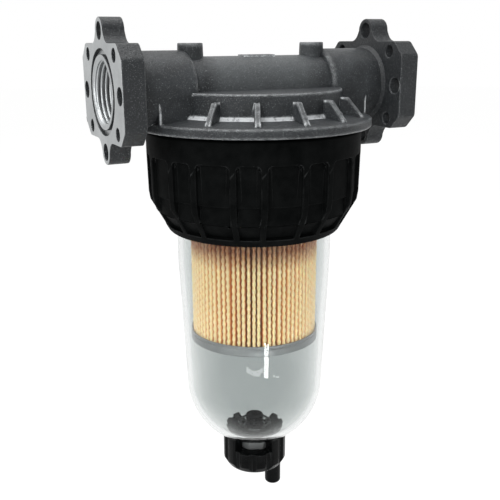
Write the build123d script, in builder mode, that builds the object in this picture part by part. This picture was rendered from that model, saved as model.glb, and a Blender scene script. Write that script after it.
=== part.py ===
from build123d import *
import math
import os

# Diesel fuel filter with a clear bowl: a flanged aluminium head, a ribbed ring nut that
# clamps the bowl, a pleated paper cartridge and a drain tap under the bowl.
# Millimetres. +X runs along the ports from inlet to outlet and +Z is up. The origin is the
# centre of the inlet port on its machined face. Levels are heights above the port axis.

# Fits and gaps
running_gap = 0.3
seat_gap = 0.05
grip_gap = 0.1
cut_overrun = 1.0
same_place = 0.01

# Head: ports and flanges
flange_thickness = 11.2
flange_side_margin = 5.3
flange_corner_margin = 5.4
flange_corner = 7.2
flange_corner_round = 3.5
flange_gap = 7.8
bolt_circle_radius = 29.2
bolt_hole_radius = 4.25
corner_hole_radius = 3.25
corner_hole_angle = 38.2
lug_tip_radius = 6.4
lug_root_half_width = 9.6
lug_root_round = 7.0
port_thread_radius = 15.15
port_thread_length = 21.0
port_chamfer = 1.4
port_runout = 2.0
groove_land = 1.7
groove_width = 2.75
groove_depth = 2.0

# Head: body of the casting
neck_wall = 4.55
neck_end_offset = 39.0
neck_end_round = 3.0
neck_flange_round = 1.6
passage_step = 2.15
tube_wall = 3.5
partition_thickness = 9.0
well_radius = 10.0
well_offset = 32.0
web_inset = 0.5
web_rim_inset = 3.5
drum_top = -0.4
drum_height = 12.5
drum_edge_round = 0.8
drum_wall = 4.5
roof_thickness = 4.6
disc_overhang = 5.3
disc_rim_width = 16.0
disc_slope = 2.2
disc_thickness = 5.2
disc_edge_round = 0.9
gusset_side_count = 5
gusset_pitch = 23.2
gusset_turn = -1.5
gusset_width = 2.9
gusset_drop = 4.0
gusset_rim_inset = 3.6
gusset_crest = 4.0
gusset_nose = 1.0
boss_offset = 36.0
boss_radius = 6.5
boss_rise = 6.7
boss_draft = 1.5
boss_dish_radius = 4.4
boss_dish_depth = 0.5
pad_length = 18.0
pad_half_width = 4.5
pad_rise = 0.6
pad_centre_offset = 2.0

# Head: thread skirt and cartridge spigot
skirt_step = 8.8
skirt_wall = 4.8
skirt_length = 36.7
spigot_radius = 11.5
spigot_wall = 2.5
spigot_root_step = 2.5
spigot_root_drop = 21.0
spigot_length = 18.0
spigot_chamfer = 1.0

# Ring nut
nut_top_gap = 1.2
nut_thread_gap = 1.1
nut_wall = 3.1
nut_pocket_depth = 2.2
nut_rib_lean = 0.4
nut_rib_foot_lean = 0.7
nut_band_height = 12.1
nut_pocket_height = 20.8
nut_step_depth = 1.4
nut_waist_drop = 9.9
nut_waist_inset = 1.8
nut_waist_step = 1.2
nut_rib_foot_drop = 4.5
nut_end_wall = 2.8
nut_end_chamfer = 1.0
nut_floor_height = 14.0
nut_rim_height = 4.2
nut_repeats = 10
nut_wide_pocket = 17.2
nut_narrow_pocket = 11.6
nut_pocket_round = 2.6
nut_pattern_angle = 240.9
nut_opening_gap = 1.0
nut_top_chamfer = 0.8

# Bowl
bowl_radius = 43.5
bowl_wall = 3.0
bowl_taper = 3.3
bowl_flange_thickness = 5.0
bowl_flange_gap = 0.45
bowl_lip_height = 6.2
bowl_lip_wall = 3.4
bowl_shoulder_height = 6.0
bowl_straight_length = 32.5
bowl_taper_length = 75.7
bowl_spigot_radius = 11.4
bowl_spigot_drop = 5.1
bowl_spigot_sides = 8
bowl_collar_inset = 0.9
bowl_collar_wall = 2.2
bowl_collar_height = 4.25
bowl_floor_pad = 0.6
seal_section = 2.6
seal_groove_depth = 2.2
seal_groove_width = 3.4

# Cartridge
cartridge_drop = 7.0
cartridge_length = 108.6
cap_clearance = 1.37
cap_rim_height = 6.2
cap_sheet = 0.8
bond_thickness = 3.0
pleat_count = 80
pleat_core_gap = 1.4
paper_thickness = 0.5
pleat_crest_width = 1.8
pleat_valley_width = 0.3
core_gap = 2.0
core_wall = 0.8
core_window_columns = 6
core_window_rows = 6
core_window_width = 9.0
core_window_height = 10.0
grommet_wall = 5.1
grommet_rise = 3.2
grommet_drop = 4.6
grommet_groove_depth = 2.2
grommet_chamfer = 1.0
dish_height = 8.0

# Drain tap
stem_radius = 4.3
stem_bore_radius = 2.2
stem_rise = 9.55
stem_tail = 6.05
stem_ring_radius = 5.4
stem_ring_height = 2.4
stem_flange_radius = 5.6
stem_flange_thickness = 1.5
stem_seal_section = 1.5
stem_port_radius = 1.0
disc_seal_lip = 0.1
disc_seal_thickness = 1.8
knob_radius = 19.3
knob_recess_gap = 0.8
knob_depth = 10.85
knob_taper_height = 3.8
knob_end_inset = 2.2
knob_flutes = 12
knob_flute_radius = 3.2
knob_flute_depth = 1.4
knob_window_angle = 72.0
knob_window_direction = 240.5
knob_window_sill = 0.7
knob_window_rise = 1.2
knob_chamber_gap = 1.7
knob_land_height = 3.6
knob_ring_section = 1.4
stub_offset_x = 10.1
stub_offset_y = -5.0
stub_radius = 4.9
stub_bore_radius = 2.8
stub_length = 16.5
stub_end_round = 1.8
stub_channel_radius = 1.4

# Radii, from the bowl outwards
bowl_end_radius = bowl_radius - bowl_taper
bowl_inner_radius = bowl_radius - bowl_wall
bowl_inner_end_radius = bowl_end_radius - bowl_wall
skirt_radius = bowl_radius + skirt_step
skirt_bore_radius = skirt_radius - skirt_wall
seal_radius = (skirt_radius + skirt_bore_radius) / 2
nut_bore_radius = skirt_radius + nut_thread_gap
nut_pocket_radius = nut_bore_radius + nut_wall
nut_radius = nut_pocket_radius + nut_pocket_depth
nut_rib_radius = nut_radius - nut_rib_lean
nut_rib_foot_radius = nut_rib_radius - nut_rib_foot_lean
nut_waist_radius = nut_pocket_radius - nut_waist_inset
nut_opening_radius = bowl_radius + nut_opening_gap
nut_end_radius = nut_opening_radius + nut_end_wall
bowl_flange_radius = nut_bore_radius - 2 * running_gap
disc_radius = nut_radius + disc_overhang
drum_radius = disc_radius - disc_rim_width
drum_bore_radius = drum_radius - drum_wall
web_reach = disc_radius - web_rim_inset
gusset_reach = disc_radius - gusset_rim_inset

# The ports, their flanges and the bowl axis between them
face_to_face = 2 * (disc_radius + flange_gap + flange_thickness)
axis_x = face_to_face / 2
bowl_axis = Axis((axis_x, 0, 0), (0, 0, 1))
port_axis = Axis.X
corner_hole_height = bolt_circle_radius * math.sin(math.radians(corner_hole_angle))
flange_half_width = bolt_circle_radius + flange_side_margin
flange_half_height = corner_hole_height + flange_corner_margin
port_mouth_radius = port_thread_radius + port_chamfer
groove_outer_radius = port_mouth_radius + groove_land + groove_width
neck_radius = port_thread_radius + neck_wall
passage_radius = port_thread_radius - passage_step
tube_radius = passage_radius + tube_wall
web_half_width = neck_radius - web_inset
boss_top = tube_radius + boss_rise
pad_top = tube_radius + pad_rise
spigot_bore_radius = spigot_radius - spigot_wall
spigot_root_radius = spigot_radius + spigot_root_step

# Levels, from the head down
roof_level = drum_top - roof_thickness
drum_foot = drum_top - drum_height
gusset_top = drum_top - gusset_drop
disc_rim_top = drum_foot - disc_slope
disc_bottom = disc_rim_top - disc_thickness
chamber_step = (drum_foot + disc_bottom) / 2
skirt_end = disc_bottom - skirt_length
spigot_root_level = roof_level - spigot_root_drop
spigot_end = spigot_root_level - spigot_length
bowl_flange_top = skirt_end - bowl_flange_gap
bowl_flange_bottom = bowl_flange_top - bowl_flange_thickness
nut_top = disc_bottom - nut_top_gap
nut_pocket_top = nut_top - nut_band_height
nut_pocket_foot = nut_pocket_top - nut_pocket_height
nut_waist = nut_pocket_foot - nut_waist_drop
nut_rib_foot = nut_pocket_foot - nut_rib_foot_drop
nut_shoulder = bowl_flange_bottom - seat_gap
nut_bottom = nut_shoulder - nut_floor_height
bowl_taper_top = bowl_flange_bottom - bowl_straight_length
bowl_ball_level = bowl_taper_top - bowl_taper_length
bowl_spigot_end = bowl_ball_level - bowl_end_radius - bowl_spigot_drop
stem_floor = bowl_ball_level - bowl_inner_end_radius + bowl_floor_pad
bowl_collar_radius = bowl_spigot_radius - bowl_collar_inset
collar_bore_radius = bowl_collar_radius - bowl_collar_wall
bowl_collar_top = stem_floor + bowl_collar_height

# The cartridge: it hangs on the spigot and clears the bowl's taper at its lower cap
cartridge_top = spigot_root_level - cartridge_drop
cap_floor = cartridge_top - cartridge_length
taper_share = (cap_floor - bowl_ball_level) / bowl_taper_length
cap_radius = bowl_inner_end_radius + bowl_taper * taper_share - cap_clearance
cap_inner_radius = cap_radius - cap_sheet
pleat_top = cartridge_top - cap_sheet - bond_thickness
pleat_bottom = cap_floor + cap_sheet + bond_thickness
pleat_radius = cap_inner_radius - running_gap
grommet_radius = spigot_radius + grommet_wall
grommet_hole_radius = grommet_radius - grommet_groove_depth
core_radius = grommet_radius + core_gap
pleat_inner_radius = core_radius + pleat_core_gap

# The tap: its stem stands in the bowl's floor and its knob turns on the stem
stem_top = stem_floor + stem_rise
stem_flange_bottom = stem_floor + stem_seal_section
stem_end = bowl_spigot_end - stem_tail
disc_seal_radius = stem_radius + disc_seal_lip
disc_seal_top = stem_end - seat_gap
knob_recess_radius = bowl_spigot_radius + knob_recess_gap
knob_end_radius = knob_radius - knob_end_inset
knob_deck = bowl_spigot_end - knob_window_sill
knob_bottom = knob_deck - knob_depth
knob_chamber_radius = stem_radius + knob_chamber_gap
knob_chamber_top = knob_deck - knob_land_height
knob_chamber_floor = disc_seal_top - disc_seal_thickness
stub_end = knob_bottom - stub_length


def level(height):
    return Plane(origin=(axis_x, 0, height))


def radial_plane(degrees):
    across = math.radians(degrees)
    outward = (math.cos(across), math.sin(across), 0)
    sideways = (math.sin(across), -math.cos(across), 0)
    return Plane(origin=(axis_x, 0, 0), x_dir=outward, z_dir=sideways)


def turned(points, mode=Mode.ADD):
    """A solid of revolution about the bowl axis, from (radius, level) points."""
    with BuildSketch(radial_plane(0)) as section:
        with BuildLine():
            Polyline(*points, close=True)
        make_face()
    revolve(section.sketch, axis=bowl_axis, mode=mode)


def ring(section_radius, centre_radius, height):
    """A round rubber ring about the bowl axis."""
    with BuildSketch(radial_plane(0)) as section:
        with Locations((centre_radius, height)):
            Circle(section_radius)
    revolve(section.sketch, axis=bowl_axis)


def write(builder, label):
    builder.part.label = label
    export_step(builder.part, f"parts/{label}.step")


os.makedirs("parts", exist_ok=True)


# Head casting
def flange_outline(plane):
    """The flange face: a wide octagon with a rounded lug above and below."""
    with BuildSketch(plane) as outline:
        Rectangle(2 * flange_half_width, 2 * flange_half_height)
        chamfer(outline.vertices(), flange_corner)
        fillet(outline.vertices(), flange_corner_round)
        for side in (1, -1):
            with BuildLine():
                Polyline(
                    (-lug_root_half_width, 0),
                    (-lug_root_half_width, side * flange_half_height),
                    (-lug_tip_radius, side * bolt_circle_radius),
                    (lug_tip_radius, side * bolt_circle_radius),
                    (lug_root_half_width, side * flange_half_height),
                    (lug_root_half_width, 0),
                    close=True,
                )
            make_face()
            with Locations((0, side * bolt_circle_radius)):
                Circle(lug_tip_radius)
        roots = [
            corner
            for corner in outline.vertices()
            if abs(abs(corner.Y) - flange_half_height) < same_place
            and abs(abs(corner.X) - lug_root_half_width) < same_place
        ]
        fillet(roots, lug_root_round)
    return outline.sketch


def port_profile(start, direction, depth):
    """Half section of a threaded port with its mouth chamfer, for turning about the port axis."""
    with BuildSketch(Plane.XZ) as section:
        with BuildLine():
            Polyline(
                (start, 0),
                (start, port_mouth_radius),
                (start + direction * port_chamfer, port_thread_radius),
                (start + direction * port_thread_length, port_thread_radius),
                (start + direction * (port_thread_length + port_runout), passage_radius),
                (start + direction * depth, passage_radius),
                (start + direction * depth, 0),
                close=True,
            )
        make_face()
    return section.sketch


def neck_profile(start, direction):
    """Half section of a port neck with its rounded inner end."""
    face = start + direction * flange_thickness
    root = face - direction * cut_overrun
    end = axis_x - direction * neck_end_offset
    with BuildSketch(Plane.XZ) as section:
        with BuildLine():
            Polyline(
                (root, 0),
                (root, neck_radius + neck_flange_round + cut_overrun),
                (face, neck_radius + neck_flange_round),
                (face + direction * neck_flange_round, neck_radius),
                (end - direction * neck_end_round, neck_radius),
            )
            ThreePointArc(
                (end - direction * neck_end_round, neck_radius),
                (
                    end - direction * neck_end_round * (1 - math.sqrt(0.5)),
                    neck_radius - neck_end_round * (1 - math.sqrt(0.5)),
                ),
                (end, neck_radius - neck_end_round),
            )
            Polyline((end, neck_radius - neck_end_round), (end, 0), (root, 0))
        make_face()
    return section.sketch


ends = ((0, 1), (face_to_face, -1))
outlet_depth = face_to_face / 2 + spigot_bore_radius
inlet_depth = face_to_face / 2 - spigot_bore_radius - partition_thickness

with BuildPart() as head_casting:
    # drum, clamping disc and thread skirt, still solid
    turned(
        [
            (0, drum_top),
            (drum_radius - drum_edge_round, drum_top),
            (drum_radius, drum_top - drum_edge_round),
            (drum_radius, drum_foot),
            (disc_radius - disc_edge_round, disc_rim_top),
            (disc_radius, disc_rim_top - disc_edge_round),
            (disc_radius, disc_bottom + disc_edge_round),
            (disc_radius - disc_edge_round, disc_bottom),
            (skirt_radius, disc_bottom),
            (skirt_radius, skirt_end),
            (0, skirt_end),
        ]
    )
    # webs that carry the necks down to the disc
    with BuildSketch(level(disc_bottom)) as web_plan:
        Rectangle(2 * web_reach, 2 * web_half_width)
    extrude(web_plan.sketch, amount=drum_top - disc_bottom)
    # gussets round the front and the back of the drum
    gusset_span = gusset_pitch * (gusset_side_count - 1)
    for index in range(2 * gusset_side_count):
        half_turn, place = divmod(index, gusset_side_count)
        angle = 90 + 180 * half_turn + gusset_turn - gusset_span / 2 + gusset_pitch * place
        with BuildSketch(radial_plane(angle)) as gusset:
            with BuildLine():
                Polyline(
                    (drum_radius - cut_overrun, gusset_top),
                    (drum_radius + gusset_crest, gusset_top),
                    (gusset_reach, disc_rim_top + gusset_nose),
                    (gusset_reach, disc_bottom + cut_overrun),
                    (drum_radius - cut_overrun, disc_bottom + cut_overrun),
                    close=True,
                )
            make_face()
        extrude(gusset.sketch, amount=gusset_width / 2, both=True)
    # chamber round the cartridge
    turned(
        [
            (0, roof_level),
            (drum_bore_radius, roof_level),
            (drum_bore_radius, chamber_step),
            (skirt_bore_radius, chamber_step),
            (skirt_bore_radius, skirt_end),
            (0, skirt_end),
        ],
        mode=Mode.SUBTRACT,
    )
    # cross tube, necks and flanges
    with BuildSketch(Plane.YZ.offset(flange_thickness)) as tube_end:
        Circle(tube_radius)
    extrude(tube_end.sketch, amount=face_to_face - 2 * flange_thickness)
    for start, direction in ends:
        revolve(neck_profile(start, direction), axis=port_axis)
    extrude(flange_outline(Plane.YZ), amount=flange_thickness)
    extrude(
        flange_outline(Plane.YZ.offset(face_to_face - flange_thickness)),
        amount=flange_thickness,
    )
    # crown bosses and pad
    for side in (-1, 1):
        boss_plane = Plane(origin=(axis_x + side * boss_offset, 0, boss_top), z_dir=(0, 0, -1))
        with BuildSketch(boss_plane) as boss:
            Circle(boss_radius)
        extrude(boss.sketch, amount=boss_top - passage_radius, taper=-boss_draft)
        with BuildSketch(boss_plane) as boss_dish:
            Circle(boss_dish_radius)
        extrude(boss_dish.sketch, amount=boss_dish_depth, mode=Mode.SUBTRACT)
    with BuildSketch(Plane(origin=(axis_x + pad_centre_offset, 0, passage_radius))) as pad:
        Rectangle(pad_length, 2 * pad_half_width)
    extrude(pad.sketch, amount=pad_top - passage_radius)
    # spigot that carries the cartridge
    turned(
        [
            (0, roof_level + cut_overrun),
            (spigot_root_radius, roof_level + cut_overrun),
            (spigot_root_radius, spigot_root_level),
            (spigot_radius, spigot_root_level),
            (spigot_radius, spigot_end + spigot_chamfer),
            (spigot_radius - spigot_chamfer, spigot_end),
            (0, spigot_end),
        ]
    )
    # ports, passages, the well to the chamber and the spigot bore
    revolve(port_profile(0, 1, inlet_depth), axis=port_axis, mode=Mode.SUBTRACT)
    revolve(port_profile(face_to_face, -1, outlet_depth), axis=port_axis, mode=Mode.SUBTRACT)
    with BuildSketch(Plane(origin=(axis_x - well_offset, 0, 0))) as well:
        Circle(well_radius)
    extrude(well.sketch, amount=-(tube_radius + cut_overrun), mode=Mode.SUBTRACT)
    with BuildSketch(level(0)) as spigot_bore:
        Circle(spigot_bore_radius)
    extrude(spigot_bore.sketch, amount=spigot_end, mode=Mode.SUBTRACT)
    # face grooves and bolt holes
    for start, direction in ends:
        face = Plane(origin=(start, 0, 0), x_dir=(0, 1, 0), z_dir=(direction, 0, 0))
        with BuildSketch(face) as groove:
            Circle(groove_outer_radius)
            Circle(groove_outer_radius - groove_width, mode=Mode.SUBTRACT)
        extrude(groove.sketch, amount=groove_depth, mode=Mode.SUBTRACT)
        with BuildSketch(face) as bolt_holes:
            with PolarLocations(bolt_circle_radius, 4):
                Circle(bolt_hole_radius)
            for quarter in (0, 180):
                for tilt in (corner_hole_angle, -corner_hole_angle):
                    with PolarLocations(bolt_circle_radius, 1, start_angle=quarter + tilt):
                        Circle(corner_hole_radius)
        extrude(bolt_holes.sketch, amount=flange_thickness, mode=Mode.SUBTRACT)
write(head_casting, "head_casting")


# Ring nut
def nut_pocket(width):
    """Cutter for one grip pocket, from its rounded top down through the cone."""
    with BuildPart() as cutter:
        with BuildSketch(radial_plane(-width / 2)) as section:
            with BuildLine():
                Polyline(
                    (nut_pocket_radius, nut_pocket_top),
                    (nut_radius + cut_overrun, nut_pocket_top),
                    (nut_radius + cut_overrun, nut_bottom + nut_rim_height),
                    (nut_end_radius, nut_bottom + nut_rim_height),
                    (nut_waist_radius - nut_waist_step, nut_waist),
                    (nut_waist_radius, nut_waist),
                    (nut_pocket_radius - nut_step_depth, nut_pocket_foot),
                    (nut_pocket_radius, nut_pocket_foot),
                    close=True,
                )
            make_face()
        revolve(section.sketch, axis=bowl_axis, revolution_arc=width)
        corners = (
            cutter.edges()
            .filter_by(GeomType.LINE)
            .filter_by(lambda edge: abs(edge.center().Z - nut_pocket_top) < same_place)
        )
        fillet(corners, nut_pocket_round)
    return cutter.part


with BuildPart() as ring_nut:
    turned(
        [
            (nut_bore_radius + nut_top_chamfer, nut_top),
            (nut_radius - nut_top_chamfer, nut_top),
            (nut_radius, nut_top - nut_top_chamfer),
            (nut_radius, nut_pocket_top),
            (nut_rib_radius, nut_pocket_foot),
            (nut_rib_foot_radius, nut_rib_foot),
            (nut_end_radius + nut_end_chamfer, nut_bottom + nut_end_chamfer),
            (nut_end_radius, nut_bottom),
            (nut_opening_radius, nut_bottom),
            (nut_opening_radius, nut_shoulder),
            (nut_bore_radius, nut_shoulder),
            (nut_bore_radius, nut_top - nut_top_chamfer),
        ]
    )
    nut_pitch = 360 / nut_repeats
    for pocket_width, phase in ((nut_narrow_pocket, 0), (nut_wide_pocket, nut_pitch / 2)):
        cutter = nut_pocket(pocket_width)
        for index in range(nut_repeats):
            turn = nut_pattern_angle + phase + index * nut_pitch
            add(cutter.rotate(bowl_axis, turn), mode=Mode.SUBTRACT)
write(ring_nut, "ring_nut")


# Bowl
def ball_level(radius, ball_radius):
    """Level of the bowl's round end at a radius."""
    return bowl_ball_level - math.sqrt(ball_radius**2 - radius**2)


def ball_arc(ball_radius, outer, inner):
    """Arc of the round end between two radii."""
    middle = (outer + inner) / 2
    ThreePointArc(
        (outer, ball_level(outer, ball_radius)),
        (middle, ball_level(middle, ball_radius)),
        (inner, ball_level(inner, ball_radius)),
    )


with BuildPart() as bowl:
    lip_radius = skirt_bore_radius - running_gap
    lip_top = bowl_flange_top + bowl_lip_height
    with BuildSketch(radial_plane(0)) as bowl_section:
        with BuildLine():
            Polyline(
                (collar_bore_radius, ball_level(collar_bore_radius, bowl_end_radius)),
                (collar_bore_radius, bowl_collar_top),
                (bowl_collar_radius, bowl_collar_top),
                (bowl_collar_radius, ball_level(bowl_collar_radius, bowl_inner_end_radius)),
            )
            ball_arc(bowl_inner_end_radius, bowl_inner_end_radius, bowl_collar_radius)
            Polyline(
                (bowl_inner_end_radius, bowl_ball_level),
                (bowl_inner_radius, bowl_taper_top),
                (bowl_inner_radius, bowl_flange_bottom),
                (lip_radius - bowl_lip_wall, bowl_flange_bottom + bowl_shoulder_height),
                (lip_radius - bowl_lip_wall, lip_top),
                (lip_radius, lip_top),
                (lip_radius, bowl_flange_top),
                (bowl_flange_radius, bowl_flange_top),
                (bowl_flange_radius, bowl_flange_bottom),
                (bowl_radius, bowl_flange_bottom),
                (bowl_radius, bowl_taper_top),
                (bowl_end_radius, bowl_ball_level),
            )
            ball_arc(bowl_end_radius, bowl_end_radius, collar_bore_radius)
        make_face()
    revolve(bowl_section.sketch, axis=bowl_axis)
    # eight-sided spigot with a flat floor inside the collar
    with BuildSketch(level(bowl_spigot_end)) as spigot_plan:
        RegularPolygon(bowl_spigot_radius, bowl_spigot_sides)
    extrude(
        spigot_plan.sketch,
        amount=ball_level(bowl_spigot_radius, bowl_end_radius) - bowl_spigot_end,
    )
    with BuildSketch(level(bowl_spigot_end)) as spigot_core:
        Circle((collar_bore_radius + bowl_collar_radius) / 2)
    extrude(spigot_core.sketch, amount=stem_floor - bowl_spigot_end)
    with BuildSketch(level(stem_floor)) as stem_hole:
        Circle(stem_radius + seat_gap)
    extrude(stem_hole.sketch, amount=bowl_spigot_end - stem_floor, mode=Mode.SUBTRACT)
    # groove for the bowl seal in the flange's upper face
    turned(
        [
            (seal_radius - seal_groove_width / 2, bowl_flange_top),
            (seal_radius + seal_groove_width / 2, bowl_flange_top),
            (seal_radius + seal_groove_width / 2, bowl_flange_top - seal_groove_depth),
            (seal_radius - seal_groove_width / 2, bowl_flange_top - seal_groove_depth),
        ],
        mode=Mode.SUBTRACT,
    )
write(bowl, "bowl")

with BuildPart() as bowl_oring:
    ring(seal_section / 2, seal_radius, bowl_flange_top - seal_groove_depth + seal_section / 2)
write(bowl_oring, "bowl_oring")


# Cartridge
def pleat_line(crest_radius, crest_width, valley_radius, valley_width):
    """Closed zigzag of flat-topped folds about the bowl axis."""
    points = []
    pitch = 2 * math.pi / pleat_count
    for index in range(pleat_count):
        crest = index * pitch
        valley = crest + pitch / 2
        corners = (
            (crest_radius, crest - crest_width / 2 / crest_radius),
            (crest_radius, crest + crest_width / 2 / crest_radius),
            (valley_radius, valley - valley_width / 2 / valley_radius),
            (valley_radius, valley + valley_width / 2 / valley_radius),
        )
        points += [(radius * math.cos(turn), radius * math.sin(turn)) for radius, turn in corners]
    return points


with BuildPart() as cartridge_pleats:
    with BuildSketch(level(pleat_bottom)) as folded_paper:
        with BuildLine():
            Polyline(
                *pleat_line(
                    pleat_radius,
                    pleat_crest_width,
                    pleat_inner_radius + paper_thickness,
                    pleat_valley_width,
                ),
                close=True,
            )
        make_face()
        with BuildLine():
            Polyline(
                *pleat_line(
                    pleat_radius - paper_thickness,
                    pleat_crest_width - 2 * paper_thickness,
                    pleat_inner_radius,
                    pleat_valley_width + 2 * paper_thickness,
                ),
                close=True,
            )
        make_face(mode=Mode.SUBTRACT)
    extrude(folded_paper.sketch, amount=pleat_top - pleat_bottom)
write(cartridge_pleats, "cartridge_pleats")

with BuildPart() as cartridge_core:
    core_foot = cap_floor + cap_sheet
    core_height = cartridge_top - cap_sheet - core_foot
    with BuildSketch(level(core_foot)) as core_plan:
        Circle(core_radius)
        Circle(core_radius - core_wall, mode=Mode.SUBTRACT)
    extrude(core_plan.sketch, amount=core_height)
    window_pitch = core_height / (core_window_rows + 1)
    for row in range(core_window_rows):
        height = core_foot + window_pitch * (row + 1)
        for column in range(core_window_columns):
            side = Plane(
                origin=(axis_x, 0, height),
                x_dir=(0, 0, 1),
                z_dir=radial_plane(360 / core_window_columns * column).x_dir,
            )
            with BuildSketch(side) as window:
                Rectangle(core_window_height, core_window_width)
            extrude(window.sketch, amount=core_radius + cut_overrun, mode=Mode.SUBTRACT)
write(cartridge_core, "cartridge_core")

with BuildPart() as cartridge_bottom_cap:
    dish_radius = core_radius - core_wall - running_gap
    turned(
        [
            (0, cap_floor + dish_height),
            (dish_radius - dish_height / 2, cap_floor + dish_height),
            (dish_radius, cap_floor),
            (cap_radius, cap_floor),
            (cap_radius, cap_floor + cap_rim_height),
            (cap_inner_radius, cap_floor + cap_rim_height),
            (cap_inner_radius, cap_floor + cap_sheet),
            (dish_radius, cap_floor + cap_sheet),
            (dish_radius - dish_height / 2, cap_floor + cap_sheet + dish_height),
            (0, cap_floor + cap_sheet + dish_height),
        ]
    )
write(cartridge_bottom_cap, "cartridge_bottom_cap")

with BuildPart() as cartridge_top_cap:
    turned(
        [
            (grommet_hole_radius, cartridge_top),
            (cap_radius, cartridge_top),
            (cap_radius, cartridge_top - cap_rim_height),
            (cap_inner_radius, cartridge_top - cap_rim_height),
            (cap_inner_radius, cartridge_top - cap_sheet),
            (grommet_hole_radius, cartridge_top - cap_sheet),
        ]
    )
write(cartridge_top_cap, "cartridge_top_cap")

for bond_name, bond_foot in (
    ("cartridge_bottom_bond", cap_floor + cap_sheet),
    ("cartridge_top_bond", pleat_top),
):
    with BuildPart() as bond:
        with BuildSketch(level(bond_foot)) as bond_plan:
            Circle(cap_inner_radius)
            Circle(core_radius, mode=Mode.SUBTRACT)
        extrude(bond_plan.sketch, amount=bond_thickness)
    write(bond, bond_name)

with BuildPart() as cartridge_grommet:
    grommet_bore = spigot_radius + grip_gap
    turned(
        [
            (grommet_bore + grommet_chamfer, cartridge_top + grommet_rise),
            (grommet_radius, cartridge_top + grommet_rise),
            (grommet_radius, cartridge_top),
            (grommet_hole_radius, cartridge_top),
            (grommet_hole_radius, cartridge_top - cap_sheet),
            (grommet_radius, cartridge_top - cap_sheet),
            (grommet_radius - grommet_chamfer, cartridge_top - grommet_drop),
            (grommet_bore + grommet_chamfer, cartridge_top - grommet_drop),
            (grommet_bore, cartridge_top - grommet_drop + grommet_chamfer),
            (grommet_bore, cartridge_top + grommet_rise - grommet_chamfer),
        ]
    )
write(cartridge_grommet, "cartridge_grommet")


# Drain tap
with BuildPart() as drain_stem:
    turned(
        [
            (stem_bore_radius, stem_top),
            (stem_ring_radius, stem_top),
            (stem_ring_radius, stem_top - stem_ring_height),
            (stem_radius, stem_top - stem_ring_height),
            (stem_radius, stem_flange_bottom + stem_flange_thickness),
            (stem_flange_radius, stem_flange_bottom + stem_flange_thickness),
            (stem_flange_radius, stem_flange_bottom),
            (stem_radius, stem_flange_bottom),
            (stem_radius, stem_end),
            (stem_bore_radius, stem_end),
        ]
    )
    port_level = stem_flange_bottom + stem_flange_thickness + 2 * stem_port_radius
    port_plane = Plane(origin=(axis_x, -stem_radius, port_level), z_dir=(0, 1, 0))
    with BuildSketch(port_plane) as stem_port:
        Circle(stem_port_radius)
    extrude(stem_port.sketch, amount=2 * stem_radius, mode=Mode.SUBTRACT)
write(drain_stem, "drain_stem")

with BuildPart() as drain_stem_seal:
    turned(
        [
            (stem_radius + seat_gap, stem_flange_bottom),
            (stem_flange_radius, stem_flange_bottom),
            (stem_flange_radius, stem_floor),
            (stem_radius + seat_gap, stem_floor),
        ]
    )
write(drain_stem_seal, "drain_stem_seal")

with BuildPart() as drain_disc:
    with BuildSketch(level(knob_chamber_floor)) as disc_plan:
        Circle(disc_seal_radius)
    extrude(disc_plan.sketch, amount=disc_seal_thickness)
write(drain_disc, "drain_disc")

ring_groove_radius = stem_radius + knob_ring_section
ring_groove_top = knob_deck - knob_land_height / 4
ring_groove_foot = ring_groove_top - knob_ring_section - 2 * seat_gap

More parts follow.
